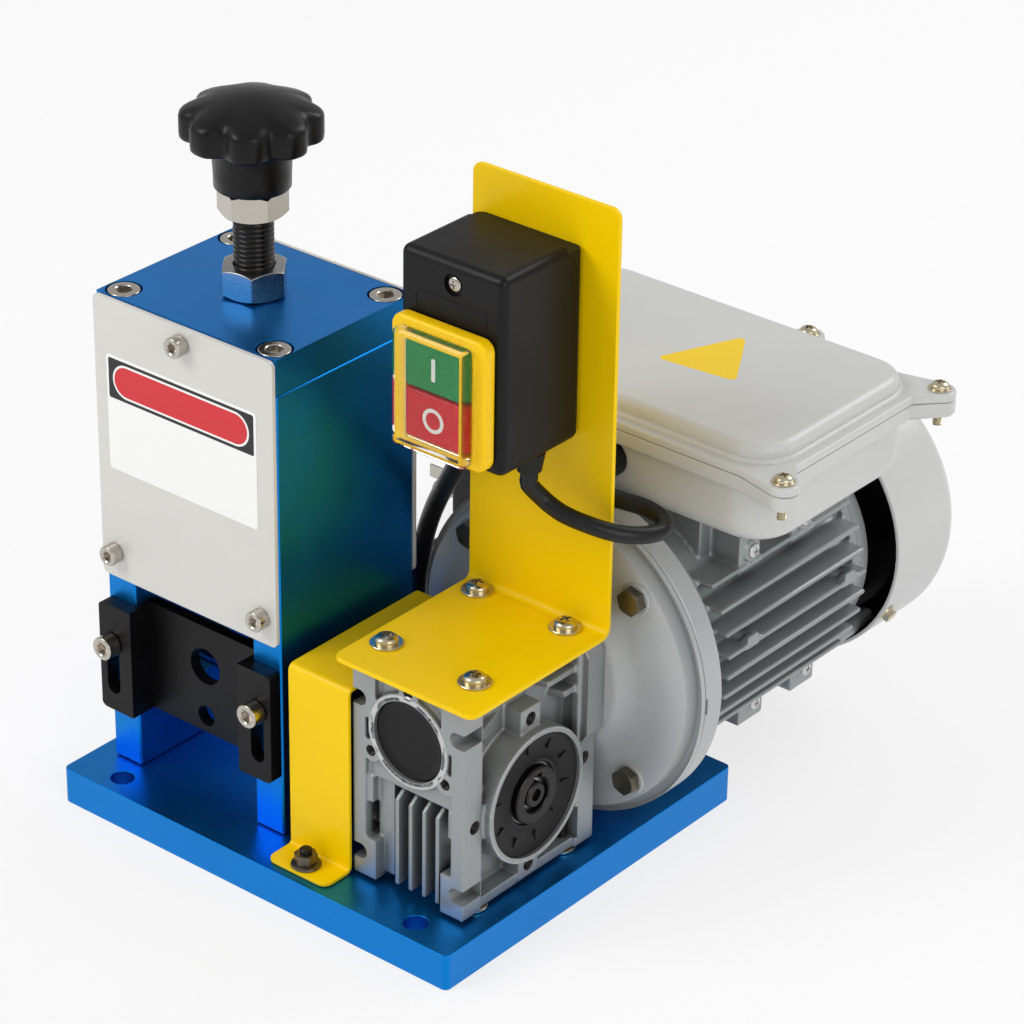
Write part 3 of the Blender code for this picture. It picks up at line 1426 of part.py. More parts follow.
def drive_guard(finishes):
    """Bent sheet over the drive shaft, with a foot in front and one behind."""
    half = sheet_guard / 2
    low = plate_thickness + seat_gap + half
    top = plate_thickness + guard_height - half
    front = head_front - guard_front_overhang + half
    back = head_back - guard_back_inset - half
    path = [(front - guard_foot - overrun, low), (front, low), (front, top), (back, top), (back, low),
            (back + guard_foot + overrun, low)]
    left = head_right + guard_side_gap
    right = gear_left - guard_gear_gap
    guard = prism("drive_guard", [folded(path, sheet_guard, guard_bend)], "YZ", left - overrun,
            right + overrun,
                  finishes["yellow"])
    shape = rounded(rectangle(left, front - guard_foot, right, back + guard_foot), guard_foot_corner)
    keep_inside(guard, prism("guard_corners", [shape], "XY", 0, head_top))
    middle_x = (left + right) / 2
    middle_front = front - half - guard_foot * guard_hole_share
    middle_back = back + half + guard_foot * guard_hole_share
    for end, y in (("front", middle_front), ("back", middle_back)):
        cut(guard, rod("guard_hole_" + end, (middle_x, y, plate_thickness - overrun), (middle_x, y,
                low + overrun),
                       guard_hole_radius, sides=20))
    face = low + half + seat_gap
    flange_top = face + guard_nut_flange_height
    nut_top = face + guard_nut_height
    flats = hexagon(middle_x, middle_front, guard_nut_flat, math.pi / 6)
    nut = prism("guard_nut", [flats], "XY", flange_top - guard_nut_flange_height / 2, nut_top,
            finishes["zinc"])
    join(nut, rod("guard_nut_flange", (middle_x, middle_front, face), (middle_x, middle_front, flange_top),
                  guard_nut_flange, sides=24))
    join(nut, rod("guard_stud", (middle_x, middle_front, flange_top), (middle_x, middle_front,
                                                                      nut_top + guard_stud_rise),
                  guard_stud_radius, sides=16))


def bracket_screw_places():
    """Where the switch bracket is screwed to the gearbox, as (x, y)."""
    xs = (gear_mid_x - foot_hole_pitch_x / 2, gear_mid_x + foot_hole_pitch_x / 2)
    ys = (head_mid_y - foot_hole_pitch_y / 2, head_mid_y + foot_hole_pitch_y / 2)
    return [(x, y) for x in xs for y in ys]


def switch_bracket(finishes):
    """Bent sheet: a plate on the gearbox and an upright for the switch box."""
    half = sheet_bracket / 2
    back = upright_front + half
    top = bracket_deck + bracket_top
    front = gear_front - bracket_front_overhang
    path = [(front - overrun, bracket_floor + half), (back, bracket_floor + half), (back, top + overrun)]
    right = bracket_left + bracket_width
    bracket = prism("switch_bracket", [folded(path, sheet_bracket, bracket_bend, 4)], "YZ",
                    bracket_left - overrun, right + overrun, finishes["yellow"])
    plate_shape = rounded(rectangle(bracket_left, front, right, head_back + overrun),
                          [bracket_corner, bracket_corner, 0, 0])
    keep_inside(bracket, prism("bracket_plate_corners", [plate_shape], "XY", 0, top + 2 * overrun))
    upright_shape = rounded(rectangle(bracket_left, 0, right, top), [0, 0, bracket_corner, bracket_corner])
    keep_inside(bracket, prism("bracket_upright_corners", [upright_shape], "XZ", front - 2 * overrun,
                               head_back + overrun))
    for index, (x, y) in enumerate(bracket_screw_places()):
        cut(bracket, rod("bracket_hole_%d" % index, (x, y, bracket_floor - overrun), (x, y,
                bracket_deck + overrun),
                         bracket_hole_radius, sides=16))


def switch_box(finishes):
    """Moulded box with a pocket for the switch and a frame round its buttons."""
    right = switch_x + switch_width
    box = block("switch_box", (switch_x, switch_front, switch_low), (right, switch_back,
            switch_low + switch_height),
                finishes["black_plastic"])
    soften(box, switch_round, 3)
    middle_x = frame_x + frame_width / 2
    middle_z = frame_z + frame_height / 2
    low = (middle_x - switch_pocket_width / 2, switch_front - overrun, middle_z - switch_pocket_height / 2)
    high = (middle_x + switch_pocket_width / 2, switch_back - switch_wall,
            middle_z + switch_pocket_height / 2)
    cut(box, block("switch_pocket", low, high))
    outline = rounded(rectangle(frame_x, frame_z, frame_x + frame_width, frame_z + frame_height),
            frame_corner, 4)
    window = rectangle(middle_x - frame_window_width / 2, middle_z - frame_window_height / 2,
                       middle_x + frame_window_width / 2, middle_z + frame_window_height / 2)
    frame = prism("switch_frame", [outline, rounded(window, frame_corner / 3, 2)], "XZ", frame_front,
            frame_back,
                  finishes["yellow"])
    soften(frame, frame_depth / 5, 1)


def switch_buttons(finishes):
    """Start and stop buttons, which press back into the box."""
    middle_x = frame_x + frame_width / 2
    middle_z = frame_z + frame_height / 2
    front = frame_front - button_proud
    for name, sign, colour in (("on_button", 1, "green"), ("off_button", -1, "red")):
        near = middle_z + sign * button_gap / 2
        far = near + sign * button_height
        low = (middle_x - button_width / 2, front, min(near, far))
        high = (middle_x + button_width / 2, front + button_depth, max(near, far))
        button = block(name, low, high, finishes[colour])
        soften(button, button_round, 2)
        hang(pivot(name + "_slide", (middle_x, front, (near + far) / 2)), button)


def switch_cover(finishes):
    """Clear soft cover that stands over both buttons."""
    middle_x = frame_x + frame_width / 2
    middle_z = frame_z + frame_height / 2
    back = frame_front - seat_gap
    front = back - clear_cover_depth
    half_x = frame_window_width / 2
    half_z = frame_window_height / 2
    draft = clear_cover_draft
    wall = clear_cover_wall

    def ring(spread_x, spread_z, y):
        corners = rounded(rectangle(middle_x - spread_x, middle_z - spread_z, middle_x + spread_x,
                                    middle_z + spread_z), frame_corner / 2, 3)
        return [(x, y, z) for x, z in corners]

    cover = lofted("switch_cover", [ring(half_x + clear_cover_flange, half_z + clear_cover_flange, back),
                                    ring(half_x + clear_cover_flange, half_z + clear_cover_flange,
                                            back - wall),
                                    ring(half_x, half_z, back - wall - seat_gap),
                                    ring(half_x - draft, half_z - draft, front)], finishes["clear"])
    inside = lofted("switch_cover_room", [ring(half_x - wall, half_z - wall, back + overrun),
                                          ring(half_x - wall, half_z - wall, back),
                                          ring(half_x - wall - draft, half_z - wall - draft, front + wall)])
    cut(cover, inside)


def link_route():
    """Route of the cable from the switch box round the upright to the motor's gland."""
    exit_x = switch_x + link_exit_left
    exit_y = switch_back - link_exit_back
    exit_z = switch_low - seat_gap - link_gland_length - seat_gap
    gland_x = box_left + box_width * gland_place_share
    gland_z = box_base + gland_height
    gland_y = box_front - seat_gap - gland_length - seat_gap
    return exit_x, exit_y, exit_z, gland_x, gland_y, gland_z


def switch_cable(finishes):
    """Cable between the switch box and the terminal box, with its bush under the box."""
    exit_x, exit_y, exit_z, gland_x, gland_y, gland_z = link_route()
    top = switch_low - seat_gap
    profile = [(link_radius + seat_gap, 0), (link_gland_radius, 0), (link_gland_tip_radius,
            -link_gland_length),
               (link_radius + seat_gap, -link_gland_length)]
    turned("switch_cable_bush", profile, (exit_x, exit_y, top), (0, 0, 1), finishes["black_rubber"],
            20, ring=True)
    route = [(exit_x, exit_y, exit_z), (exit_x, exit_y, exit_z - end_straight),
             (exit_x, exit_y, exit_z - 2 * end_straight),
             (0.0835, -0.0130, 0.1760),
             (0.0910, -0.0105, 0.1712), (0.1005, -0.0060, 0.1677), (0.1095, 0.0005, 0.1645),
             (0.1155, 0.0100, 0.1622), (0.1165, 0.0190, 0.1612), (0.1120, 0.0250, 0.1615),
             (0.1035, 0.0255, 0.1630), (0.0940, 0.0220, 0.1645), (0.0845, 0.0190, 0.1655),
             (0.0765, 0.0190, 0.1660), (gland_x, gland_y - 2 * end_straight, gland_z),
             (gland_x, gland_y - end_straight, gland_z),
             (gland_x, gland_y, gland_z)]
    tube("switch_cable", smooth_path(route, link_step), link_radius, finishes["black_rubber"])


def mains_lead(finishes):
    """Strain relief, lead, coil and plug."""
    top = switch_low - seat_gap
    relief = [(0.0480, -0.0060, top), (0.0480, -0.0060, top - relief_straight),
              (0.0480, -0.0060, top - 2 * relief_straight),
              (0.0455, -0.0052, 0.1855), (0.0415, -0.0040, 0.1810), (0.0372, -0.0026, 0.1768)]
    boot = smooth_path(relief, relief_step)
    taper = relief_tip_radius / relief_radius
    shares = [1 - (1 - taper) * index / (len(boot) - 1) for index in range(len(boot))]
    tube("mains_strain_relief", boot, relief_radius, finishes["black_rubber"], shares)
    tip = boot[-1]
    heading = (boot[-1] - boot[-2]).normalized()
    lying = cord_radius + seat_gap
    on_plate = plate_thickness + lying
    coil_x, coil_y = coil_centre
    coil_start = Vector((coil_x + coil_outer_radius, coil_y, lying))
    coil_mouth = coil_start - Vector((0, 2 * cord_radius, 0))
    lead_end = coil_mouth - Vector((0, seat_gap, 0))
    first = tip + heading * seat_gap
    route = [first, first + heading * end_straight, first + heading * 2 * end_straight,
             (0.0270, 0.0040, 0.1640), (0.0200, 0.0090, 0.1550),
             (0.0110, 0.0145, 0.1430), (0.0025, 0.0185, 0.1290), (-0.0045, 0.0215, 0.1130),
             (-0.0095, 0.0240, 0.0950), (-0.0125, 0.0265, 0.0760), (-0.0145, 0.0300, 0.0570),
             (-0.0160, 0.0350, 0.0400), (-0.0170, 0.0430, 0.0275), (-0.0175, 0.0540, on_plate + 0.0015),
             (-0.0178, 0.0650, on_plate), (-0.0175, 0.0760, on_plate), (-0.0170, 0.0860, on_plate),
             (-0.0160, 0.0960, 0.0200), (-0.0145, 0.1060, 0.0150), (-0.0127, 0.1160, 0.0095),
             (-0.0112, 0.1260, 0.0056), (lead_end.x, 0.1350, lying), lead_end - Vector((0,
                     2 * cord_radius, 0)),
             lead_end - Vector((0, cord_radius, 0)), lead_end]
    lead = smooth_path(route, cord_step)
    tube("mains_cord", lead, cord_radius, finishes["black_rubber"])
    coil = coil_path()
    tail = [coil[-1] - Vector((tail_length * share, 0, 0)) for share in tail_point_shares]
    coil = [coil_mouth] + coil
    tube("mains_cord_coil", coil + tail, cord_radius, finishes["black_rubber"], detail=1)
    print("lead", round(path_length(lead), 4), "coil and tail", round(path_length(coil + tail), 4),
          "least gap in the coil", round(least_gap(coil + tail), 5))
    return tail[-1]


def coil_path():
    """One unbroken lead that spirals in on the bench and out again on top of itself."""
    coil_x, coil_y = coil_centre
    total = round(coil_loops * coil_points)
    lower = cord_radius + seat_gap
    climb = coil_points / 2
    points = [Vector((coil_x + coil_outer_radius, coil_y, lower))]
    lead_in = 1
    for index in range(lead_in, total + 1):
        turn = index / coil_points
        inward = min(turn, coil_loops - turn)
        radius = coil_outer_radius - coil_pitch * inward
        rise = (index - total / 2) / climb + 0.5
        layer = coil_pitch * min(1, max(0, rise))
        angle = math.tau * turn
        points.append(Vector((coil_x + radius * math.cos(angle), coil_y + radius * math.sin(angle),
                lower + layer)))
    return points


def least_gap(points):
    """Smallest clear distance between runs of the coil that aren't neighbours along it."""
    apart = coil_points // 3
    best = min((a - b).length for index, a in enumerate(points) for b in points[index + apart:])
    return best - 2 * cord_radius


def mains_plug(finishes, tail_end):
    """Moulded plug with two flat blades and a round earth pin, lying on its side."""
    start = tail_end - Vector((seat_gap, 0, 0))
    boot_end = start.x - plug_boot_length
    body_end = boot_end - plug_length
    low_z = start.z - plug_thickness / 2
    body = block("mains_plug", (body_end, start.y - plug_width / 2, low_z),
                 (boot_end, start.y + plug_width / 2, low_z + plug_thickness), finishes["black_rubber"])
    soften(body, plug_round, 3)
    join(body, rod("plug_boot", (start.x, start.y, start.z), (boot_end - plug_round, start.y, start.z),
                   relief_tip_radius, sides=20, end_radius=plug_boot_radius))
    for sign in (-1, 1):
        y = start.y + sign * plug_blade_pitch / 2
        z = start.z + plug_pin_drop / 3
        low = (body_end - plug_blade_length, y - plug_blade_thickness / 2, z - plug_blade_width / 2)
        high = (body_end + plug_round, y + plug_blade_thickness / 2, z + plug_blade_width / 2)
        join(body, block("plug_blade_%d" % sign, low, high))
    z = start.z + plug_pin_drop / 3 - plug_pin_drop
    join(body, rod("plug_pin", (body_end - plug_pin_length, start.y, z), (body_end + plug_round, start.y, z),
                   plug_pin_radius, sides=16))


def carriage(finishes):
    """Sliding block that carries the blade, keyed to the grooves in the side plates."""
    left = inner_left + seat_gap
    right = inner_right - seat_gap
    half_depth = carriage_depth / 2
    body = block("blade_carriage", (left, head_mid_y - half_depth, carriage_bottom),
                 (right, head_mid_y + half_depth, carriage_top), finishes["steel"])
    soften(body, edge_break, 1)
    key = groove_depth - seat_gap
    for name, inner, sign in (("left", left, -1), ("right", right, 1)):
        far = inner + sign * key
        near = inner - sign * overrun
        low = (min(near, far), head_mid_y - groove_width / 2 + seat_gap, carriage_bottom + edge_break)
        high = (max(near, far), head_mid_y + groove_width / 2 - seat_gap, carriage_top - edge_break)
        join(body, block("carriage_key_" + name, low, high))
    half_slot = carriage_slot_width / 2
    slot_top = blade_z + blade_radius + overrun
    cut(body, block("blade_slot", (head_mid_x - half_slot, head_mid_y - half_depth - overrun,
            carriage_bottom - overrun),
                    (head_mid_x + half_slot, head_mid_y + half_depth + overrun, slot_top)))
    shaft_half = blade_shaft_margin + head_width / 4
    cut(body, rod("blade_shaft_hole", (head_mid_x - shaft_half - seat_gap, head_mid_y, blade_z),
                  (head_mid_x + shaft_half + seat_gap, head_mid_y, blade_z), blade_shaft_radius + seat_gap, sides=24))
    socket_floor = carriage_top - spindle_neck_length - spindle_collar_length - seat_gap
    cut(body, rod("collar_room", (head_mid_x, head_mid_y, socket_floor),
                  (head_mid_x, head_mid_y, carriage_top - spindle_neck_length + seat_gap),
                  spindle_collar_radius + seat_gap))
    cut(body, rod("neck_room", (head_mid_x, head_mid_y, socket_floor + overrun),
                  (head_mid_x, head_mid_y, carriage_top + overrun), spindle_neck_radius + seat_gap, sides=24))
    shaft = rod("blade_shaft", (head_mid_x - shaft_half, head_mid_y, blade_z),
                (head_mid_x + shaft_half, head_mid_y, blade_z), blade_shaft_radius, finishes["steel"], 24)
    profile = [(blade_hub_radius, blade_hub_width / 2), (blade_hub_radius, blade_thickness / 2),
               (blade_radius - blade_bevel, blade_thickness / 2), (blade_radius, 0),
               (blade_radius - blade_bevel, -blade_thickness / 2), (blade_hub_radius, -blade_thickness / 2),
               (blade_hub_radius, -blade_hub_width / 2), (blade_shaft_radius + seat_gap,
                       -blade_hub_width / 2),
               (blade_shaft_radius + seat_gap, blade_hub_width / 2)]
    blade = turned("stripping_blade", profile, (head_mid_x, head_mid_y, blade_z), (1, 0, 0),
            finishes["steel"], 32,
                   ring=True)
    slide = pivot("carriage_slide", (head_mid_x, head_mid_y, blade_z))
    spin = pivot("blade_spin", (head_mid_x, head_mid_y, blade_z))
    hang(slide, body, spin)
    hang(spin, shaft, blade)
    return slide


def hex_nut(name, bottom, height, bore_radius, material):
    """A hexagon nut round the spindle, with its corners chamfered."""
    corner = nut_flat_radius / math.cos(math.pi / 6)
    outline = hexagon(head_mid_x, head_mid_y, nut_flat_radius, knob_facing + math.pi / 6)
    bore = circle(head_mid_x, head_mid_y, bore_radius, 16)
    nut = prism(name, [outline, bore], "XY", bottom, bottom + height, material)
    drop = (corner - nut_flat_radius) * nut_chamfer_share
    profile = [(0, height), (nut_flat_radius, height), (corner, height - drop), (corner, drop),
               (nut_flat_radius, 0), (0, 0)]
    keep_inside(nut, turned(name + "_chamfer", profile, (head_mid_x, head_mid_y, bottom), (0, 0, 1),
            None, 18))
    return nut


def adjusting_screw(finishes, slide):
    """Threaded spindle, its two nuts and the lobed knob."""
    neck_floor = carriage_top - spindle_neck_length
    profile = [(0, knob_bottom + knob_hub_length), (spindle_radius, knob_bottom + knob_hub_length),
               (spindle_radius, carriage_top + seat_gap), (spindle_neck_radius, carriage_top + seat_gap),
               (spindle_neck_radius, neck_floor), (spindle_collar_radius, neck_floor),
               (spindle_collar_radius, neck_floor - spindle_collar_length), (0,
                       neck_floor - spindle_collar_length)]
    spindle = turned("adjusting_spindle", profile, (head_mid_x, head_mid_y, 0), (0, 0, 1),
            finishes["black_steel"], 20)
    hex_nut("lock_nut", head_top + seat_gap, lock_nut_height, spindle_radius + seat_gap, finishes["zinc"])
    upper = hex_nut("knob_nut", knob_nut_bottom, knob_nut_height, spindle_radius + seat_gap, finishes["zinc"])
    knob = adjusting_knob(finishes)
    turn = pivot("knob_turn", (head_mid_x, head_mid_y, knob_bottom))
    hang(slide, turn)
    turn.matrix_parent_inverse = Matrix.Translation(-slide.location)
    hang(turn, spindle, upper, knob)


def adjusting_knob(finishes):
    """Lobed knob with a hub below and a domed top."""
    rim_low = knob_top - knob_rim_drop
    shoulder = knob_top - knob_rim_shoulder
    sides = knob_lobes * 6
    flare = knob_hub_flare
    skirt_heights = (rim_low - knob_rim_shoulder / 8, rim_low)
    skirt = [(knob_radius * out, depth, z) for (out, depth), z in zip(knob_skirt_shares, skirt_heights)]
    crown = [(knob_radius * out, depth, shoulder + knob_rim_shoulder * height)
             for (out, depth), height in zip(knob_crown_shares, knob_crown_height_shares)]
    bands = [(knob_hub_radius, 0, knob_bottom), (flare, 0, rim_low - knob_rim_shoulder / 3)] + skirt
    bands += [(knob_radius, 1, rim_low + knob_rim_shoulder / 4), (knob_radius, 1,
            shoulder - knob_rim_shoulder / 8)]
    bands += crown
    rings = []
    for radius, waviness, z in bands:
        ring = []
        for index in range(sides):
            angle = math.tau * index / sides
            wave = (1 - math.cos(knob_lobes * angle)) / 2
            out = radius - knob_lobe_depth * waviness * wave ** knob_wave_power_share
            turn = angle + knob_facing
            ring.append((head_mid_x + out * math.cos(turn), head_mid_y + out * math.sin(turn), z))
        rings.append(ring)
    knob = lofted("adjusting_knob", rings, finishes["black_plastic"])
    cut(knob, rod("knob_bore", (head_mid_x, head_mid_y, knob_bottom - overrun),
                  (head_mid_x, head_mid_y, knob_bottom + knob_hub_length + seat_gap), spindle_radius + seat_gap))
    return knob


def build():
    """Model every piece of the machine."""
    finishes = make_finishes()
    base_plate(finishes)
    head_sides(finishes)
    head_top_plate(finishes)
    head_covers(finishes)
    head_screws(finishes)
    cable_guide(finishes)
    shaft, roller = drive_line(finishes)
    wheel = worm_gear(finishes)
    sleeve = output_sleeve(finishes)
    hang(pivot("drive_spin", (gear_mid_x, head_mid_y, drive_z)), shaft, roller, wheel, sleeve)
    gearbox_housing(finishes)
    gearbox_trims(finishes)
    flanges(finishes)
    motor_housing(finishes)
    worm = worm_shaft(finishes)
    rotor = motor_inside(finishes)
    rear_end_shield(finishes)
    fan = cooling_fan(finishes)
    fan_cover(finishes)
    hang(pivot("motor_spin", (gear_mid_x, body_front, motor_z)), worm, rotor, fan)
    terminal_box(finishes)
    terminal_lid(finishes)
    box_fittings(finishes)
    drive_guard(finishes)
    switch_bracket(finishes)
    switch_box(finishes)
    switch_buttons(finishes)
    switch_cover(finishes)
    switch_cable(finishes)
    plug_end = mains_lead(finishes)
    mains_plug(finishes, plug_end)
    slide = carriage(finishes)
    adjusting_screw(finishes, slide)


clear_objects()
parts = new_collection("wire_stripping_machine")
cutters = new_collection("cutters")
build()
bpy.context.view_layer.update()
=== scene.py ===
"""Looks of the bench wire stripping machine. Sizes are in millimetres unless a line says otherwise."""
import math

import bmesh
import bpy
from mathutils import Matrix, Vector


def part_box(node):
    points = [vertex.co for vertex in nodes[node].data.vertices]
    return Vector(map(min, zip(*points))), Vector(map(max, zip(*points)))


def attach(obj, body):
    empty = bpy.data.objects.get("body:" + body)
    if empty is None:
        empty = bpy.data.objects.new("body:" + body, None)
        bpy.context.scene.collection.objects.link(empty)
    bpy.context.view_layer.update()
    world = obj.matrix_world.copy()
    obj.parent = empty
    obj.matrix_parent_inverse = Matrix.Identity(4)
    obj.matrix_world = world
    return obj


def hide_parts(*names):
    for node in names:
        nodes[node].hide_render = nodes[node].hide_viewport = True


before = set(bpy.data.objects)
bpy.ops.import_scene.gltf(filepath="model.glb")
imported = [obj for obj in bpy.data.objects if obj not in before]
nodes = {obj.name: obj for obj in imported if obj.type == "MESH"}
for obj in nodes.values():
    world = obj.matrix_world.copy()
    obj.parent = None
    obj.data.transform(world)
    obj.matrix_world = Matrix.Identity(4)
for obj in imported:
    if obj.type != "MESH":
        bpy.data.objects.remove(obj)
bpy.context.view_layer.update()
mm = 0.001
# Points closer together than this are welded into one
WELD = 0.01
X, Y, Z = Vector((1, 0, 0)), Vector((0, 1, 0)), Vector((0, 0, 1))


# Places taken from the CAD nodes

def place(node):
    """Lowest and highest corner of a CAD node."""
    low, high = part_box(node)
    return low / mm, high / mm


def middle(node):
    """Middle of a CAD node's box."""
    low, high = place(node)
    return (low + high) / 2


# Modelling helpers

def deselect():
    """Leave nothing selected."""
    bpy.ops.object.select_all(action="DESELECT")


def choose(piece):
    """Select one piece and make it active."""
    deselect()
    piece.select_set(True)
    bpy.context.view_layer.objects.active = piece


def settle(piece):
    """Apply a piece's place, so that its object sits at the origin."""
    choose(piece)
    bpy.ops.object.transform_apply(location=True, rotation=True, scale=True)
    return piece


def added(name):
    """Name the primitive that was just added and settle it."""
    piece = bpy.context.active_object
    piece.name = name
    piece.data.name = name
    return settle(piece)


def linked(name, data):
    """A new object of the scene for a mesh, a curve, a camera or a lamp."""
    piece = bpy.data.objects.new(name, data)
    bpy.context.scene.collection.objects.link(piece)
    return piece


def block(name, low, high):
    """A box between two opposite corners."""
    deselect()
    low, high = Vector(low), Vector(high)
    bpy.ops.mesh.primitive_cube_add(size=1, location=(low + high) / 2 * mm, scale=(high - low) * mm)
    return added(name)


def rod(name, radius, start, end, sides=48, end_radius=None):
    """A cylinder, or a cone, between two points."""
    deselect()
    start, end = Vector(start), Vector(end)
    tip = radius if end_radius is None else end_radius
    bpy.ops.mesh.primitive_cone_add(
        vertices=sides, radius1=radius * mm, radius2=tip * mm, depth=(end - start).length * mm,
        location=(start + end) / 2 * mm, rotation=(end - start).to_track_quat("Z", "Y").to_euler())
    return added(name)


def turned(name, profile, start, axis=Z, sides=64):
    """A shape spun from a profile of (radius, height) points."""
    mesh = bpy.data.meshes.new(name)
    corners = [Vector((radius, 0, height)) * mm for radius, height in profile]
    mesh.from_pydata(corners, [(index, index + 1) for index in range(len(corners) - 1)], [])
    piece = linked(name, mesh)
    choose(piece)
    bpy.ops.object.mode_set(mode="EDIT")
    bpy.ops.mesh.select_all(action="SELECT")
    bpy.ops.mesh.spin(steps=sides, angle=math.tau, center=(0, 0, 0), axis=(0, 0, 1))
    bpy.ops.mesh.select_all(action="SELECT")
    bpy.ops.mesh.remove_doubles(threshold=WELD * mm)
    bpy.ops.mesh.normals_make_consistent(inside=False)
    bpy.ops.object.mode_set(mode="OBJECT")
    turn = Vector(axis).to_track_quat("Z", "Y").to_matrix().to_4x4()
    piece.matrix_world = Matrix.Translation(Vector(start) * mm) @ turn
    return settle(piece)


def sheet(name, outlines, low, high, across=Z, edge=0.3):
    """A flat piece from outlines, the first the rim and the rest holes, between two heights across it."""
    curve = bpy.data.curves.new(name, "CURVE")
    curve.dimensions = "2D"
    curve.fill_mode = "BOTH"
    curve.extrude = max((high - low) / 2 - edge, 0.01) * mm
    curve.bevel_depth = edge * mm
    curve.bevel_resolution = 1
    curve.offset = -edge * mm
    for outline in outlines:
        spline = curve.splines.new("POLY")
        spline.points.add(len(outline) - 1)
        spline.use_cyclic_u = True
        for point, corner in zip(spline.points, outline):
            point.co = (corner[0] * mm, corner[1] * mm, 0, 1)
    piece = linked(name, curve)
    choose(piece)
    bpy.ops.object.convert(target="MESH")
    piece = bpy.context.active_object
    across = Vector(across)
    right = X if abs(across.x) < 0.5 else Y
    turn = Matrix((right, across.cross(right), across)).transposed().to_4x4()
    piece.matrix_world = Matrix.Translation(across * (low + high) / 2 * mm) @ turn
    settle(piece)
    return mend(piece)


def mend(piece):
    """Merge doubled points and turn all faces outwards."""
    choose(piece)
    bpy.ops.object.mode_set(mode="EDIT")
    bpy.ops.mesh.select_all(action="SELECT")
    bpy.ops.mesh.remove_doubles(threshold=WELD * mm)
    bpy.ops.mesh.normals_make_consistent(inside=False)
    bpy.ops.object.mode_set(mode="OBJECT")
    return piece


def modify(piece, kind, **settings):
    """Add one modifier with its settings and apply it."""
    choose(piece)
    change = piece.modifiers.new(kind.lower(), kind)
    for key, value in settings.items():
        setattr(change, key, value)
    bpy.ops.object.modifier_apply(modifier=change.name)
    return piece


def bevel(piece, width, segments=2):
    """Round every edge sharper than 30 degrees."""
    return modify(piece, "BEVEL", width=width * mm, segments=segments, limit_method="ANGLE",
                  angle_limit=math.radians(30), use_clamp_overlap=True, harden_normals=False)


def skinned(name, mesh):
    """An object from a finished bmesh."""
    data = bpy.data.meshes.new(name)
    mesh.to_mesh(data)
    mesh.free()
    return mend(linked(name, data))


def loft(name, rings):
    """A closed skin through rings of equal point counts, given in order from one end to the other."""
    mesh = bmesh.new()
    loops = [[mesh.verts.new(Vector(point) * mm) for point in ring] for ring in rings]
    for lower, upper in zip(loops, loops[1:]):
        for index in range(len(lower)):
            after = (index + 1) % len(lower)
            mesh.faces.new((lower[index], lower[after], upper[after], upper[index]))
    mesh.faces.new(loops[0][::-1])
    mesh.faces.new(loops[-1])
    return skinned(name, mesh)


def moulded(name, outline, low, high, foot=0.0, crown=0.0, steps=6):
    """An upright moulding with rounded lower and upper edges. The outline is a function of its inset."""
    quarter = [math.pi / 2 * step / steps for step in range(steps + 1)]
    levels = [(foot * (1 - math.sin(turn)), low + foot * (1 - math.cos(turn))) for turn in quarter]
    levels += [(crown * (1 - math.cos(turn)), high - crown * (1 - math.sin(turn))) for turn in quarter]
    return loft(name, [[(x, y, z) for x, y in outline(inset)] for inset, z in levels])


def cut(piece, *cutters, operation="DIFFERENCE"):
    """Take the cutters out of a piece, or keep only what it shares with them."""
    tool = join("cutters", list(cutters))
    modify(piece, "BOOLEAN", operation=operation, object=tool, solver="EXACT")
    bpy.data.objects.remove(tool, do_unlink=True)
    return piece


def join(name, pieces):
    """One object from several."""
    deselect()
    for piece in pieces:
        piece.select_set(True)
    bpy.context.view_layer.objects.active = pieces[0]
    if len(pieces) > 1:
        bpy.ops.object.join()
    whole = bpy.context.active_object
    whole.name = name
    return whole


def cast(piece, voxel):
    """Melt joined shapes into one soft casting and halve its faces."""
    modify(piece, "REMESH", mode="VOXEL", voxel_size=voxel * mm, adaptivity=0.0)
    modify(piece, "SMOOTH", factor=0.5, iterations=2)
    return modify(piece, "DECIMATE", ratio=0.5)


def copied(piece, name):
    """A copy with its own mesh."""
    twin = piece.copy()
    twin.data = piece.data.copy()
    twin.name = name
    bpy.context.scene.collection.objects.link(twin)
    twin.matrix_world = Matrix()
    return settle(twin)


def turn_about(piece, spot, axis, turn):
    """Turn a piece about an axis through a spot."""
    shift = Matrix.Translation(Vector(spot) * mm)
    piece.matrix_world = shift @ Matrix.Rotation(turn, 4, Vector(axis)) @ shift.inverted()
    return settle(piece)


def set_round(piece, centre, turn, axis):
    """Turn a piece that was made round the origin, and move it to its centre."""
    piece.matrix_world = Matrix.Translation(Vector(centre) * mm) @ Matrix.Rotation(turn, 4, axis)
    return settle(piece)


def rectangle(low_x, low_y, high_x, high_y):
    """Four corners, anticlockwise."""
    return [(low_x, low_y), (high_x, low_y), (high_x, high_y), (low_x, high_y)]


def circle(x, y, radius, sides=40):
    """Points round a circle."""
    angles = [math.tau * index / sides for index in range(sides)]
    return [(x + radius * math.cos(angle), y + radius * math.sin(angle)) for angle in angles]


def rounded(corners, radius, steps=6):
    """An outline with its corners rounded."""
    path = []
    for index, point in enumerate(corners):
        corner = Vector(point)
        before = (Vector(corners[index - 1]) - corner).normalized()
        after = (Vector(corners[(index + 1) % len(corners)]) - corner).normalized()
        half = before.angle(after) / 2
        centre = corner + (before + after).normalized() * radius / math.sin(half)
        first = corner + before * radius / math.tan(half) - centre
        last = corner + after * radius / math.tan(half) - centre
        start = math.atan2(first.y, first.x)
        sweep = (math.atan2(last.y, last.x) - start + math.pi) % math.tau - math.pi
        angles = [start + sweep * step / steps for step in range(steps + 1)]
        path += [(centre.x + radius * math.cos(a), centre.y + radius * math.sin(a)) for a in angles]
    return path


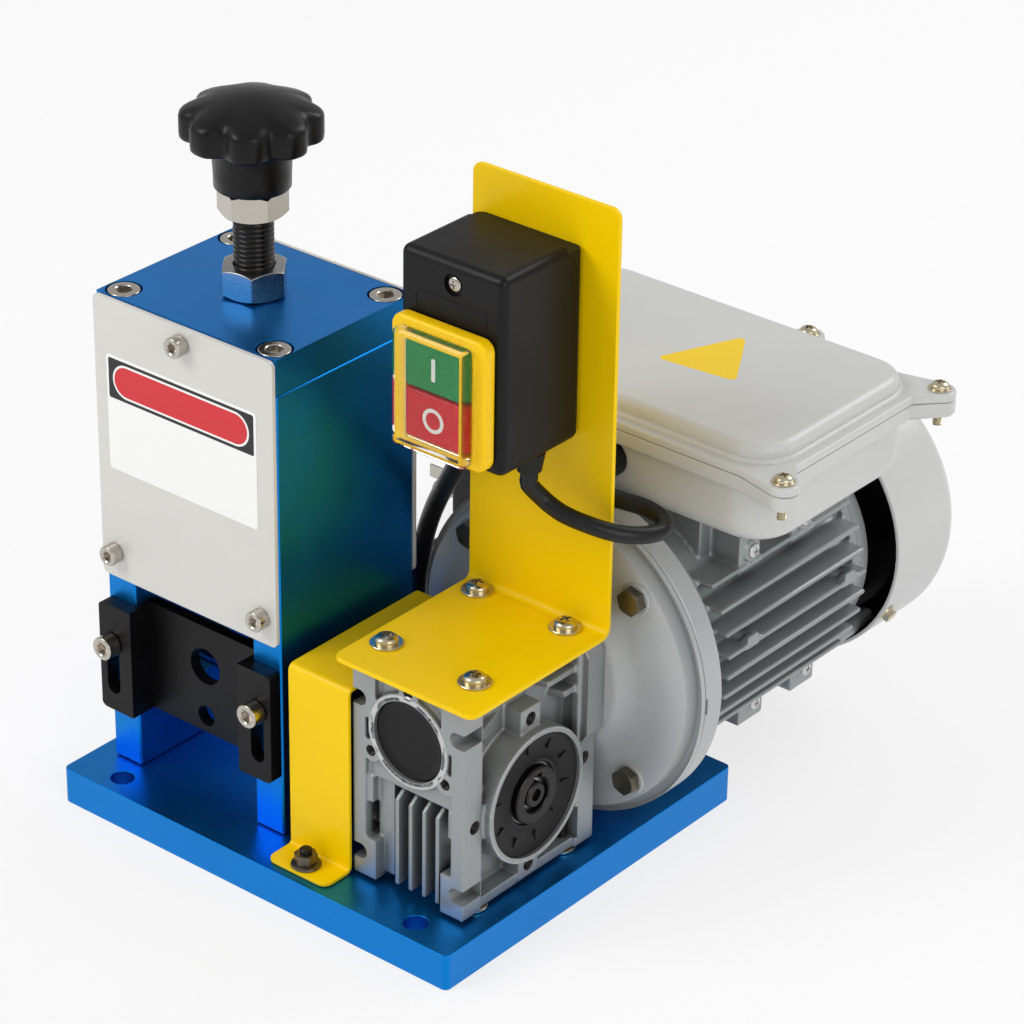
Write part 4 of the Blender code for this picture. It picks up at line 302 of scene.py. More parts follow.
def arc(radius, height, size, first, last, steps=6):
    """Profile points on an arc round (radius, height), by angles in degrees."""
    angles = [math.radians(first + (last - first) * step / steps) for step in range(steps + 1)]
    return [(radius + size * math.cos(angle), height + size * math.sin(angle)) for angle in angles]


def dress(piece, body, material, *replaced, slot=None, smooth=35, even=True):
    """Finish a piece: shading, material, body, and the CAD nodes that it stands for."""
    choose(piece)
    bpy.ops.object.shade_smooth_by_angle(angle=math.radians(smooth))
    if even:
        modify(piece, "WEIGHTED_NORMAL", keep_sharp=True, weight=50)
    piece.data.materials.clear()
    piece.data.materials.append(material)
    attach(piece, body)
    if replaced:
        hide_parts(*replaced)
    return piece


def softened_copy(node, name, width, body, material, slot):
    """A CAD form with its flat faces joined and its edges rounded."""
    copy = mend(copied(nodes[node], name))
    modify(copy, "DECIMATE", decimate_type="DISSOLVE", angle_limit=math.radians(1))
    bevel(copy, width)
    return dress(copy, body, material, node, slot=slot)


# Material helpers

def tone(code):
    """An sRGB hex colour as linear values."""
    parts = [int(code[index:index + 2], 16) / 255 for index in (1, 3, 5)]
    return tuple(c / 12.92 if c <= 0.04045 else ((c + 0.055) / 1.055) ** 2.4 for c in parts) + (1.0,)


def add(material, kind, inputs=None, **settings):
    """Add one node, with its settings, its input values and its links."""
    made = material.node_tree.nodes.new(kind)
    for key, value in settings.items():
        setattr(made, key, value)
    for key, value in (inputs or {}).items():
        if isinstance(value, bpy.types.NodeSocket):
            material.node_tree.links.new(value, made.inputs[key])
        else:
            made.inputs[key].default_value = value
    return made


def blank(name, base, roughness, metallic=0.0, **sockets):
    """A material with its Principled shader's own values set."""
    material = bpy.data.materials.new(name)
    material.use_nodes = True
    shader = material.node_tree.nodes["Principled BSDF"]
    shader.inputs["Base Color"].default_value = tone(base)
    shader.inputs["Roughness"].default_value = roughness
    shader.inputs["Metallic"].default_value = metallic
    for key, value in sockets.items():
        shader.inputs[key.replace("_", " ")].default_value = value
    return material, shader


def per_mm(size):
    """Scale of a pattern on Object coordinates whose features measure a size."""
    return 1 / (size * mm)


def place_nodes(material, stretch=(1, 1, 1)):
    """Object coordinates, stretched for brushed or drawn grain."""
    spot = add(material, "ShaderNodeTexCoord").outputs["Object"]
    return add(material, "ShaderNodeMapping", {"Vector": spot, "Scale": stretch}).outputs["Vector"]


def combined(material, operation, first, second):
    """Two values put together by one arithmetic step."""
    return add(material, "ShaderNodeMath", {0: first, 1: second}, operation=operation).outputs[0]


def blended(material, factor, first, second, kind="MIX"):
    """Two colours put together by a factor."""
    inputs = {"Factor": factor, 6: first, 7: second}
    return add(material, "ShaderNodeMix", inputs, data_type="RGBA", blend_type=kind).outputs[2]


def ranged(material, value, low, high, first, last):
    """A value carried from one range to another."""
    inputs = {"Value": value, "From Min": low, "From Max": high, "To Min": first, "To Max": last}
    return add(material, "ShaderNodeMapRange", inputs).outputs["Result"]


def speckle(material, shader, size, depth, stretch=(1, 1, 1), tones=None, gloss=None, detail=2.0,
            mottle=30.0):
    """Fine bump, slow changes of colour, and uneven gloss."""
    link = material.node_tree.links.new
    grain = add(material, "ShaderNodeTexNoise", {"Vector": place_nodes(material, stretch),
                                                 "Scale": per_mm(size), "Detail": detail}).outputs["Fac"]
    bump = add(material, "ShaderNodeBump", {"Height": grain, "Strength": 1.0, "Distance": depth * mm})
    link(bump.outputs["Normal"], shader.inputs["Normal"])
    slow = add(material, "ShaderNodeTexNoise", {"Vector": place_nodes(material),
                                                "Scale": per_mm(mottle), "Detail": 3.0}).outputs["Fac"]
    if tones:
        link(blended(material, slow, tone(tones[0]), tone(tones[1])), shader.inputs["Base Color"])
    if gloss:
        mixed = combined(material, "MULTIPLY", grain, slow)
        link(ranged(material, mixed, 0.1, 0.4, *gloss), shader.inputs["Roughness"])


# Materials, each named for the real one

def anodised_aluminium():
    """Anodised aluminium: dye under clear oxide, so nearly all of its light is tinted reflection."""
    material, shader = blank("blue_anodised_aluminium", "#0a7fd4", 0.34, 0.94)
    # Blasting grit is near 0.1 mm and is drawn at 0.5 mm so that it shows
    speckle(material, shader, 0.5, 0.004, tones=("#0878ca", "#0d86da"), gloss=(0.28, 0.42))
    return material


def brushed_cover_steel():
    """Stainless sheet with an upright brush grain under clear lacquer: pale, soft and slightly streaked."""
    material, shader = blank("brushed_cover_steel", "#d8d7d2", 0.42, 0.25)
    speckle(material, shader, 0.35, 0.003, stretch=(1, 1, 0.03), tones=("#d4d3ce", "#dddcd7"),
            gloss=(0.36, 0.52))
    return material


def yellow_powder_coat():
    """Polyester powder coat on bent sheet: a deep yellow with a weak clear shine and a faint orange peel."""
    material, shader = blank("yellow_powder_coat", "#fbd000", 0.32, Specular_IOR_Level=0.18)
    speckle(material, shader, 1.8, 0.004, tones=("#f9cc00", "#fdd400"), gloss=(0.26, 0.38))
    return material


def sprayed_casting():
    """Die-cast aluminium sprayed silver grey: fine metallic grain, a soft skin, and painted shade that
    darkens its hollows by ambient occlusion.
    """
    material, shader = blank("silver_sprayed_casting", "#9a9e9e", 0.40, 0.5)
    speckle(material, shader, 0.8, 0.016, tones=("#929697", "#a3a7a7"), gloss=(0.34, 0.50), detail=4.0)
    # Painted shade: ambient occlusion darkens the base colour in hollows and where shapes meet
    occlusion_shade = add(material, "ShaderNodeAmbientOcclusion", {"Distance": 7 * mm}, samples=6)
    dark = ranged(material, occlusion_shade.outputs["AO"], 0.15, 0.85, 0.3, 1.0)
    base = shader.inputs["Base Color"].links[0].from_socket
    shade = blended(material, 1.0, base, dark, kind="MULTIPLY")
    material.node_tree.links.new(shade, shader.inputs["Base Color"])
    return material


def machined_aluminium():
    """Machined aluminium faces: bright, with a fine uneven grain."""
    material, shader = blank("machined_aluminium", "#c9cbca", 0.30, 0.85)
    speckle(material, shader, 0.4, 0.002, gloss=(0.24, 0.38))
    return material


def grey_enamel():
    """Baked grey enamel on the flanges: smooth and half glossy."""
    material, shader = blank("grey_enamel", "#b4b7b7", 0.36, 0.25)
    speckle(material, shader, 1.2, 0.005, tones=("#aeb1b1", "#babdbd"), gloss=(0.30, 0.44))
    return material


def box_enamel():
    """Light grey enamel of the terminal box and the fan cover: glossy, with a shallow orange peel."""
    material, shader = blank("light_grey_enamel", "#cbccca", 0.32)
    speckle(material, shader, 4.0, 0.004, tones=("#c9cac8", "#cdcecc"), detail=0.0)
    return material


def black_plastic():
    """Moulded black nylon: fine spark texture and a satin gloss."""
    material, shader = blank("moulded_black_nylon", "#0d0d0d", 0.40, Specular_IOR_Level=0.22)
    # Spark texture is near 0.05 mm and is drawn at 0.4 mm so that it shows
    speckle(material, shader, 0.4, 0.004, tones=("#0a0a0a", "#111111"), gloss=(0.34, 0.48))
    return material


def phenolic_knob():
    """Moulded black phenolic knob: smooth, with a wide soft shine."""
    material, shader = blank("moulded_phenolic", "#080808", 0.33, Specular_IOR_Level=0.25)
    speckle(material, shader, 0.9, 0.002, tones=("#060606", "#0b0b0b"), gloss=(0.28, 0.40))
    return material


def black_oxide_steel():
    """Blackened metal of the guide and the blade carriage: dark satin. On the inside of the fan cover it is
    painted shade.
    """
    material, shader = blank("black_oxide_steel", "#070708", 0.42, Specular_IOR_Level=0.22)
    speckle(material, shader, 0.5, 0.003, tones=("#050506", "#0b0b0c"), gloss=(0.36, 0.50))
    return material


def nickel_steel():
    """Nickel-plated screws and nut: bright and slightly warm, with faint handling marks."""
    material, shader = blank("nickel_plated_steel", "#bdb7ae", 0.20, 1.0)
    speckle(material, shader, 0.8, 0.001, gloss=(0.16, 0.28))
    return material


def zinc_steel():
    """Yellow-passivated zinc on screws and washers: warm silver with a straw tint that drifts."""
    material, shader = blank("zinc_plated_steel", "#cfc6b0", 0.24, 1.0)
    speckle(material, shader, 0.8, 0.001, tones=("#d6d0c0", "#c2b48e"), gloss=(0.18, 0.32), mottle=5.0)
    return material


def dark_bolt_steel():
    """Dull phosphated hexagon bolts: brown-grey metal with a worn shine."""
    material, shader = blank("phosphated_bolt", "#6a645a", 0.34, 0.95)
    speckle(material, shader, 0.9, 0.003, tones=("#5d574e", "#7a7262"), gloss=(0.26, 0.44), mottle=5.0)
    return material


def turned_steel():
    """Turned steel of the shafts, bearings, feed roller, blade, rotor and lock nut."""
    material, shader = blank("turned_steel", "#9c9c9b", 0.25, 1.0)
    speckle(material, shader, 0.6, 0.001, gloss=(0.20, 0.34))
    return material


def blackened_thread():
    """Oiled black steel of the spindle, the studs and the output sleeve."""
    material, shader = blank("oiled_black_steel", "#2c2b2a", 0.30, 0.9)
    speckle(material, shader, 0.6, 0.002, tones=("#252423", "#343331"), gloss=(0.24, 0.40))
    return material


def black_rubber():
    """Moulded nitrile rubber: matt black with a dusty bloom."""
    material, shader = blank("nitrile_rubber", "#101010", 0.55, Specular_IOR_Level=0.3)
    speckle(material, shader, 0.6, 0.006, tones=("#0d0d0d", "#161616"), gloss=(0.48, 0.62))
    return material


def cable_pvc():
    """Soft PVC cable sheath: black, smooth, with a long soft shine."""
    material, shader = blank("black_pvc_sheath", "#0c0c0c", 0.36, Specular_IOR_Level=0.35)
    speckle(material, shader, 1.4, 0.004, tones=("#0a0a0a", "#101010"), gloss=(0.30, 0.42))
    return material


def button_plastic(name, base, lighter):
    """Glossy moulded plastic of the buttons and the yellow frame."""
    material, shader = blank(name, base, 0.28, Specular_IOR_Level=0.25)
    speckle(material, shader, 1.5, 0.002, tones=(base, lighter), gloss=(0.22, 0.32))
    return material


def clear_soft_pvc():
    """Clear moulded PVC cover: thin, bendy and nearly colourless."""
    material, shader = blank("clear_soft_pvc", "#fbfbf9", 0.04, Transmission_Weight=1.0, IOR=1.22,
                             Specular_IOR_Level=0.3)
    speckle(material, shader, 4.0, 0.004, gloss=(0.03, 0.08))
    return material


def plain_ink(name, colour, roughness=0.4):
    """Printed vinyl film: flat ink under a thin satin film."""
    material, shader = blank(name, colour, roughness)
    speckle(material, shader, 1.0, 0.002, gloss=(roughness - 0.05, roughness + 0.05))
    return material


def wheel_bronze():
    """Cast bronze of the worm wheel: golden brown worked metal."""
    material, shader = blank("cast_bronze", "#b08a55", 0.38, 0.9)
    speckle(material, shader, 0.5, 0.004, tones=("#a57f4c", "#bb955f"), gloss=(0.30, 0.46))
    return material


def copper_winding():
    """Enamelled copper wire and varnished laminations."""
    material, shader = blank("varnished_copper", "#8a4a26", 0.35, 0.6)
    speckle(material, shader, 0.8, 0.05, stretch=(1, 0.1, 1), tones=("#7d4020", "#9a5a30"),
            gloss=(0.28, 0.45))
    return material


BLUE = anodised_aluminium()
SHEET = brushed_cover_steel()
YELLOW = yellow_powder_coat()
CASTING = sprayed_casting()
MACHINED = machined_aluminium()
ENAMEL = grey_enamel()
BOX = box_enamel()
BLACK = black_plastic()
KNOB = phenolic_knob()
OXIDE = black_oxide_steel()
NICKEL = nickel_steel()
ZINC = zinc_steel()
BOLT = dark_bolt_steel()
STEEL = turned_steel()
THREAD = blackened_thread()
RUBBER = black_rubber()
PVC = cable_pvc()
RED = button_plastic("red_button_plastic", "#d4101c", "#dd1c28")
GREEN = button_plastic("green_button_plastic", "#08853f", "#0d9148")
FRAME_YELLOW = button_plastic("yellow_frame_plastic", "#fdc800", "#ffd000")
CLEAR = clear_soft_pvc()
WHITE_INK = plain_ink("white_vinyl", "#f6f6f4")
BLACK_INK = plain_ink("black_vinyl", "#111111")
RED_INK = plain_ink("red_vinyl", "#d3202a")
YELLOW_INK = plain_ink("yellow_vinyl", "#f5cf12")
BRONZE = wheel_bronze()
COPPER = copper_winding()


# Camera, floor and light

def set_camera():
    """The photograph's camera: a long lens, above and to the right of the front."""
    azimuth, elevation, roll = math.radians(39.25), math.radians(28.61), math.radians(0.89)
    back = Vector((math.sin(azimuth) * math.cos(elevation), -math.cos(azimuth) * math.cos(elevation),
                   math.sin(elevation)))
    right = Vector((math.cos(azimuth), math.sin(azimuth), 0))
    up = back.cross(right)
    turned_right = math.cos(roll) * right + math.sin(roll) * up
    turned_up = math.cos(roll) * up - math.sin(roll) * right
    camera = bpy.data.cameras.new("camera")
    camera.lens = 136.66
    camera.sensor_width = 36
    camera.clip_end = 20
    stand = linked("camera", camera)
    turn = Matrix((turned_right, turned_up, back)).transposed().to_4x4()
    stand.matrix_world = Matrix.Translation(Vector((888.13, -1015.80, 871.06)) * mm) @ turn
    bpy.context.scene.camera = stand


def white_to_camera(name, strength):
    """A pale surface that is white to the camera, to gloss and through glass, and keeps soft shadow."""
    glow_share = 0.72
    material = bpy.data.materials.new(name)
    material.use_nodes = True
    tree = material.node_tree
    tree.nodes.remove(tree.nodes["Principled BSDF"])
    paper = add(material, "ShaderNodeBsdfDiffuse", {"Color": tone("#f4f4f4")})
    glow = add(material, "ShaderNodeEmission", {"Color": (1, 1, 1, 1), "Strength": strength})
    ray = add(material, "ShaderNodeLightPath").outputs
    seen = combined(material, "MAXIMUM", ray["Is Camera Ray"], ray["Is Glossy Ray"])
    through = combined(material, "MAXIMUM", seen, ray["Is Transmission Ray"])
    amount = combined(material, "MULTIPLY", through, glow_share)
    both = add(material, "ShaderNodeMixShader", {0: amount, 1: paper.outputs[0], 2: glow.outputs[0]})
    tree.links.new(both.outputs[0], tree.nodes["Material Output"].inputs["Surface"])
    return material


def set_floor():
    """A wide pale floor."""
    deselect()
    bpy.ops.mesh.primitive_circle_add(vertices=96, radius=4, fill_type="NGON", location=(0, 0, 0))
    floor = added("floor")
    floor.data.materials.append(white_to_camera("pale_floor", 1.0))


def set_light():
    """Three soft round lamps and a pale world."""
    world = bpy.data.worlds.new("studio")
    bpy.context.scene.world = world
    world.use_nodes = True
    sky = world.node_tree.nodes["Background"]
    ray = add(world, "ShaderNodeLightPath")
    level = add(world, "ShaderNodeMapRange",
                {"Value": ray.outputs["Is Camera Ray"], "To Min": 0.55, "To Max": 1.0})
    world.node_tree.links.new(level.outputs["Result"], sky.inputs["Strength"])
    sky.inputs["Color"].default_value = (1, 1, 1, 1)
    # Name, place, aim, width and power of each lamp, in metres and watts
    lamps = (("key", (-0.9, -1.3, 1.5), (0, 0, 0.1), 1.1, 17),
             ("fill", (1.7, -0.6, 0.9), (0, 0, 0.12), 1.3, 9),
             ("rim", (0.5, 1.5, 1.3), (0, 0, 0.15), 1.0, 10))
    for name, spot, aim, width, power in lamps:
        light = bpy.data.lights.new(name, "AREA")
        light.shape = "DISK"
        light.size = width
        light.energy = power
        lamp = linked(name, light)
        lamp.location = spot
        lamp.rotation_euler = (Vector(spot) - Vector(aim)).to_track_quat("Z", "Y").to_euler()
    bpy.context.scene.view_settings.view_transform = "Standard"


# Cords, in metres as in the part's source

def smooth_path(points, spacing):
    """Points a spacing apart on a smooth curve through the given points."""
    points = [Vector(point) for point in points]
    ends = [2 * points[0] - points[1]] + points + [2 * points[-1] - points[-2]]
    path = []
    for before, start, end, after in zip(ends, ends[1:], ends[2:], ends[3:]):
        count = max(1, round((end - start).length / spacing))
        for step in range(count):
            t = step / count
            path.append(0.5 * (2 * start + (end - before) * t
                               + (2 * before - 5 * start + 4 * end - after) * t ** 2
                               + (3 * start - before - 3 * end + after) * t ** 3))
    return path + [points[-1]]


def cord_curve(name, points, radius, resolution=5):
    """A round cord on one open spline."""
    curve = bpy.data.curves.new(name, "CURVE")
    curve.dimensions = "3D"
    curve.bevel_depth = radius
    curve.bevel_resolution = resolution
    curve.use_fill_caps = True
    spline = curve.splines.new("POLY")
    spline.points.add(len(points) - 1)
    for point, spot in zip(spline.points, points):
        point.co = (*spot, 1)
    spline.use_smooth = True
    return linked(name, curve)


def mains_route():
    """One unbroken lead: relief, down behind the head, into the coil on the bench and out to the plug."""
    top = 0.1965
    relief = [(0.0480, -0.0060, top), (0.0480, -0.0060, top - 0.002), (0.0480, -0.0060, top - 0.004),
              (0.0455, -0.0052, 0.1855), (0.0415, -0.0040, 0.1810), (0.0372, -0.0026, 0.1768)]
    boot = smooth_path(relief, 0.003)
    heading = (boot[-1] - boot[-2]).normalized()
    first = boot[-1] + heading * 0.0003
    lying, on_plate = 0.0043, 0.0203
    lead_end = Vector((-0.010, 0.1477, lying))
    route = [first, first + heading * 0.003, first + heading * 0.006, (0.0270, 0.0040, 0.1640),
             (0.0200, 0.0090, 0.1550), (0.0110, 0.0145, 0.1430), (0.0025, 0.0185, 0.1290),
             (-0.0045, 0.0215, 0.1130), (-0.0095, 0.0240, 0.0950), (-0.0125, 0.0265, 0.0760),
             (-0.0145, 0.0300, 0.0570), (-0.0160, 0.0350, 0.0400), (-0.0170, 0.0430, 0.0275),
             (-0.0175, 0.0540, on_plate + 0.0015), (-0.0178, 0.0650, on_plate),
             (-0.0175, 0.0760, on_plate), (-0.0170, 0.0860, on_plate), (-0.0160, 0.0960, 0.0200),
             (-0.0145, 0.1060, 0.0150), (-0.0127, 0.1160, 0.0095), (-0.0112, 0.1260, 0.0056),
             (-0.010, 0.1350, lying), lead_end - Vector((0, 0.008, 0)), lead_end - Vector((0, 0.004, 0)),
             lead_end]
    centre, outer, pitch, loops, per_loop = Vector((-0.064, 0.156, 0)), 0.054, 0.0087, 5.25, 24
    total = round(loops * per_loop)
    coil = [centre + Vector((outer, -0.008, lying))]
    for index in range(total + 1):
        turn = index / per_loop
        radius = outer - pitch * min(turn, loops - turn)
        layer = pitch * min(1, max(0, (index - total / 2) / (per_loop / 2) + 0.5))
        angle = math.tau * turn
        coil.append(centre + Vector((radius * math.cos(angle), radius * math.sin(angle), lying + layer)))
    tail = [coil[-1] - Vector((0.026 * share, 0, 0)) for share in (0.3, 0.65, 1)]
    return boot, smooth_path(smooth_path(route, 0.011)[:-1] + coil + tail, 0.004)


def strain_relief(boot):
    """Moulded relief: a tapered sleeve with flex grooves round it."""
    thick, thin = 0.0070, 0.0052
    fine = smooth_path(boot, 0.0005)
    piece = cord_curve("mains_relief", fine, thick, 6)
    groove_every = max(4, len(fine) // 7)
    for index, point in enumerate(piece.data.splines[0].points):
        groove = 0.88 if index % groove_every in (0, 1) and 3 < index < len(fine) - 2 else 1.0
        point.radius = (1 - (1 - thin / thick) * index / (len(fine) - 1)) * groove
    choose(piece)
    bpy.ops.object.convert(target="MESH")
    piece = mend(bpy.context.active_object)
    return dress(piece, "frame", PVC, "mains_strain_relief", slot="black_rubber")


def plug(node, name):
    """Moulded plug with plated blades and pin: the CAD form, softened, with two materials."""
    piece = softened_copy(node, name, 0.3, "frame", RUBBER, "black_rubber")
    piece.data.materials.append(NICKEL)
    blade_length = 20.5
    body_start = place(node)[0].x + blade_length - 0.6
    for face in piece.data.polygons:
        if face.center.x / mm < body_start:
            face.material_index = 1
    return piece


def cords():
    """Mains lead with its coil and plug, and the held cable to the motor."""
    boot, route = mains_route()
    strain_relief(boot)
    lead = cord_curve("mains_lead", route, 0.004)
    lead.data.materials.append(PVC)
    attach(lead, "frame")
    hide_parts("mains_cord", "mains_cord_coil")
    plug("mains_plug", "moulded_plug")
    exit_spot, gland = Vector((0.080, -0.0168, 0.1882)), Vector((0.0708, 0.0311, 0.1661))
    down, out = Vector((0, 0, -0.003)), Vector((0, -0.003, 0))
    route = [exit_spot, exit_spot + down, exit_spot + 2 * down, (0.0835, -0.0130, 0.1760),
             (0.0910, -0.0105, 0.1712), (0.1005, -0.0060, 0.1677), (0.1095, 0.0005, 0.1645),
             (0.1155, 0.0100, 0.1622), (0.1165, 0.0190, 0.1612), (0.1120, 0.0250, 0.1615),
             (0.1035, 0.0255, 0.1630), (0.0940, 0.0220, 0.1645), (0.0845, 0.0190, 0.1655),
             (0.0765, 0.0190, 0.1660), gland + 2 * out, gland + out, gland]
    path = smooth_path(smooth_path(route, 0.006), 0.0015)
    link = cord_curve("motor_cable", path, 0.0035)
    link.data.materials.append(PVC)
    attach(link, "frame")
    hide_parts("switch_cable")


# Fasteners

def hex_bolt(name, spot, axis, flats, height, washer=0.0, turn=0.0, dome=0.6):
    """A hexagon head with a chamfered top, on a washer if one is given."""
    axis = Vector(axis)
    spot = Vector(spot)
    corner = flats / 2 / math.cos(math.pi / 6)
    head = rod(name, corner, spot + axis * washer, spot + axis * (washer + height), sides=6)
    if turn:
        turn_about(head, spot, axis, turn)
    cone = [(0, -1), (corner + 2, -1), (corner + 2, height - 1.2), (flats / 2 * 0.95, height),
            (0, height + dome * 0.2)]
    cut(head, turned(name + "_cone", cone, spot + axis * washer, axis, 48), operation="INTERSECT")
    pieces = [bevel(head, 0.25)]
    if washer:
        ring = [(0, 0), (flats * 0.72, 0), (flats * 0.75, 0.2), (flats * 0.72, washer), (0, washer)]
        pieces.append(turned(name + "_washer", ring, spot, axis, 40))
    return join(name, pieces)


def socket_screw(name, spot, axis, radius, length, socket, shank, shank_length, *replaced, turn=0.3):
    """A screw with a hexagon socket. The spot is under its head, and the axis points out of it."""
    axis = Vector(axis)
    spot = Vector(spot)
    rim = [(0, 0), (radius - 0.3, 0)] + arc(radius - 0.3, 0.3, 0.3, -90, 0, 3)
    rim += arc(radius - 0.5, length - 0.5, 0.5, 0, 90, 4)
    rim += [(socket + 0.75, length), (socket + 0.35, length - 0.35), (0, length - 0.35)]
    head = turned(name, rim, spot, axis, 48)
    key = rod(name + "_key", socket / math.cos(math.pi / 6), spot + axis * (length * 0.45),
              spot + axis * (length + 2), sides=6)
    cut(head, turn_about(key, spot, axis, turn))
    profile = [(0, 0.1), (shank * 0.98, 0.1)]
    turns = max(2, round(shank_length / 0.8))
    for index in range(turns):
        low = -shank_length * index / turns
        profile += [(shank, low - 0.1), (shank * 0.88, low - shank_length / turns * 0.6)]
    profile += [(shank * 0.85, -shank_length), (0, -shank_length)]
    thread = turned(name + "_shank", profile[::-1], spot, axis, 32)
    return dress(join(name, [head, thread]), "frame", NICKEL, *replaced, slot="zinc_steel")


def node_screw(node, name, radius, length, socket, shank):
    """A socket screw in the place of a CAD screw that faces the front."""
    low, high = place(node)
    spot = middle(node)
    socket_screw(name, (spot.x, low.y + length, spot.z), -Y, radius, length, socket, shank,
                 high.y - low.y - (length + 0.2), node)


def pan_screw(name, spot, axis, radius, height, material, washer_radius=0.0, washer=0.0, turn=0.6):
    """A domed cross-recess screw, on a washer if one is given."""
    axis = Vector(axis)
    spot = Vector(spot)
    dome = [(0, 0), (radius, 0), (radius, height * 0.35)]
    dome += [(radius * math.cos(angle), height * (0.35 + 0.65 * math.sin(angle)))
             for angle in [math.pi / 2 * step / 8 for step in range(1, 8)]] + [(0, height)]
    head = turned(name, dome, spot + axis * washer, axis, 48)
    side = axis.orthogonal().normalized()
    top = spot + axis * (washer + height)
    for index in range(2):
        way = side if index == 0 else axis.cross(side)
        across = axis.cross(way)
        length, width = radius * 0.52, radius * 0.13
        arm = block(name + "_arm", (-length, -width, -height * 0.55), (length, width, 2))
        arm.matrix_world = Matrix.Translation(top * mm) @ Matrix((way, across, axis)).transposed().to_4x4()
        settle(arm)
        cut(head, turn_about(arm, top, axis, turn))
    pieces = [head]
    if washer:
        ring = [(0, 0), (washer_radius - 0.2, 0), (washer_radius, 0.2), (washer_radius, washer - 0.2),
                (washer_radius - 0.2, washer), (0, washer)]
        pieces.append(turned(name + "_washer", ring, spot, axis, 48))
    return dress(join(name, pieces), "frame", material, slot="zinc_steel")


# The head

def head():
    """Solid blue plates with broken edges, and the four screws of the top plate."""
    for node, name in (("head_side_left", "side_plate_left"), ("head_side_right", "side_plate_right"),
                       ("base_plate", "blue_base")):
        softened_copy(node, name, 0.25, "frame", BLUE, "blue_aluminium")
    low, high = place("head_top_plate")
    top = block("blue_top", low, high)
    inset, counterbore, hole, seat = 7.5, 7.3, 4.2, high.z - 6
    spots = rectangle(low.x + inset, low.y + inset, high.x - inset, high.y - inset)
    for index, (x, y) in enumerate(spots):
        cut(top, rod("seat_%d" % index, counterbore, (x, y, seat), (x, y, high.z + 2), 64))
        cut(top, rod("hole_%d" % index, hole, (x, y, low.z - 2), (x, y, high.z), 32))
        socket_screw("top_screw_%d" % index, (x, y, seat), Z, 6.5, 6.0, 3.0, 4.0, 16, turn=0.4 * index)
    mid = middle("adjusting_spindle")
    cut(top, rod("spindle_hole", 8.6, (mid.x, mid.y, low.z - 2), (mid.x, mid.y, high.z + 2), 48))
    bevel(top, 0.25)
    dress(top, "frame", BLUE, "head_top_plate", slot="blue_aluminium")


COVER_SCREWS = ("cover_screw_top", "cover_screw_left", "cover_screw_right")


def film(name, outlines, low, high, edge, ink, body="frame"):
    """A thin printed film on a face that looks to the front."""
    return dress(sheet(name, outlines, low, high, across=-Y, edge=edge), body, ink)


def covers():
    """Front and rear sheet covers with rounded corners, the front one's screws and its bare label."""
    holes = [circle(spot.x, spot.z, 2.7, 32) for spot in map(middle, COVER_SCREWS)]
    for node, name in (("front_cover", "front_sheet"), ("rear_cover", "rear_sheet")):
        low, high = place(node)
        outline = rounded(rectangle(low.x, low.z, high.x, high.z), 2.5)
        cover = sheet(name, [outline] + holes, -high.y, -low.y, across=-Y, edge=0.35)
        dress(cover, "frame", SHEET, node, slot="brushed_sheet")
    face = -place("front_cover")[0].y
    left, right, foot, top = -87.5, -8.5, 153.0, 203.0
    label = rounded(rectangle(left, foot, right, top), 1.5)
    film("label_film", [label], face, face + 0.25, 0.08, WHITE_INK)
    band = rounded(rectangle(left + 1.2, top - 18.5, right - 1.2, top - 1.2), 0.8)
    film("label_band", [band], face + 0.1, face + 0.32, 0.05, BLACK_INK)
    bar_low, bar_high = top - 16.2, top - 3.4
    half = (bar_high - bar_low) / 2
    ring = rounded(rectangle(left + 3.5, bar_low - 0.9, right - 3.5, bar_high + 0.9), half + 0.8, 12)
    film("label_ring", [ring], face + 0.2, face + 0.38, 0.05, WHITE_INK)
    bar = rounded(rectangle(left + 4.4, bar_low, right - 4.4, bar_high), half - 0.05, 12)
    film("label_bar", [bar], face + 0.3, face + 0.44, 0.05, RED_INK)
    for node in COVER_SCREWS:
        node_screw(node, node.replace("cover", "sheet"), 4.25, 5.0, 2.0, 2.4)


def rear_screws():
    """Three socket screws that hold the rear cover as the front one is held."""
    face = place("rear_cover")[1].y
    for node in COVER_SCREWS:
        spot = middle(node)
        socket_screw(node.replace("cover", "rear"), (spot.x, face, spot.z), Y, 4.25, 5.0, 2.0, 2.4, 6)


def guide():
    """Black cable guide, kept from the CAD with its edges rounded, and its two screws."""
    softened_copy("cable_guide", "black_guide", 0.5, "guide", OXIDE, "black_steel")
    for node in ("guide_screw_left", "guide_screw_right"):
        node_screw(node, node.replace("guide", "slot"), 5.0, 6.0, 2.5, 3.0)


# The adjusting screw

KNOB_FACING = math.radians(-51.3)


def screw_thread(name, radius, low, high, x, y, pitch=2.0, depth=1.1):
    """A threaded rod: rings of a helix joined into one skin, closed at both ends."""
    per_turn, mesh = 32, bmesh.new()
    turns = (high - low) / pitch
    levels = [(0.0, radius - depth), (0.42, radius), (0.58, radius)]
    strands = []
    count = int(turns * per_turn)
    for index in range(count + 1):
        angle = math.tau * index / per_turn
        row = []
        for share, out in levels:
            z = min(max(low + pitch * (index / per_turn + share - 1), low), high)
            corner = Vector((x + out * math.cos(angle), y + out * math.sin(angle), z))
            row.append(mesh.verts.new(corner * mm))
        strands.append(row)
    for index in range(count):
        row, after = strands[index], strands[index + 1]
        for a in range(2):
            mesh.faces.new((row[a], after[a], after[a + 1], row[a + 1]))
        if index + per_turn < count:
            up, up_after = strands[index + per_turn], strands[index + per_turn + 1]
            mesh.faces.new((row[2], after[2], up_after[0], up[0]))
    thread = skinned(name, mesh)
    core = rod(name + "_core", radius - depth + 0.05, (x, y, low), (x, y, high), 48)
    return join(name, [thread, core])


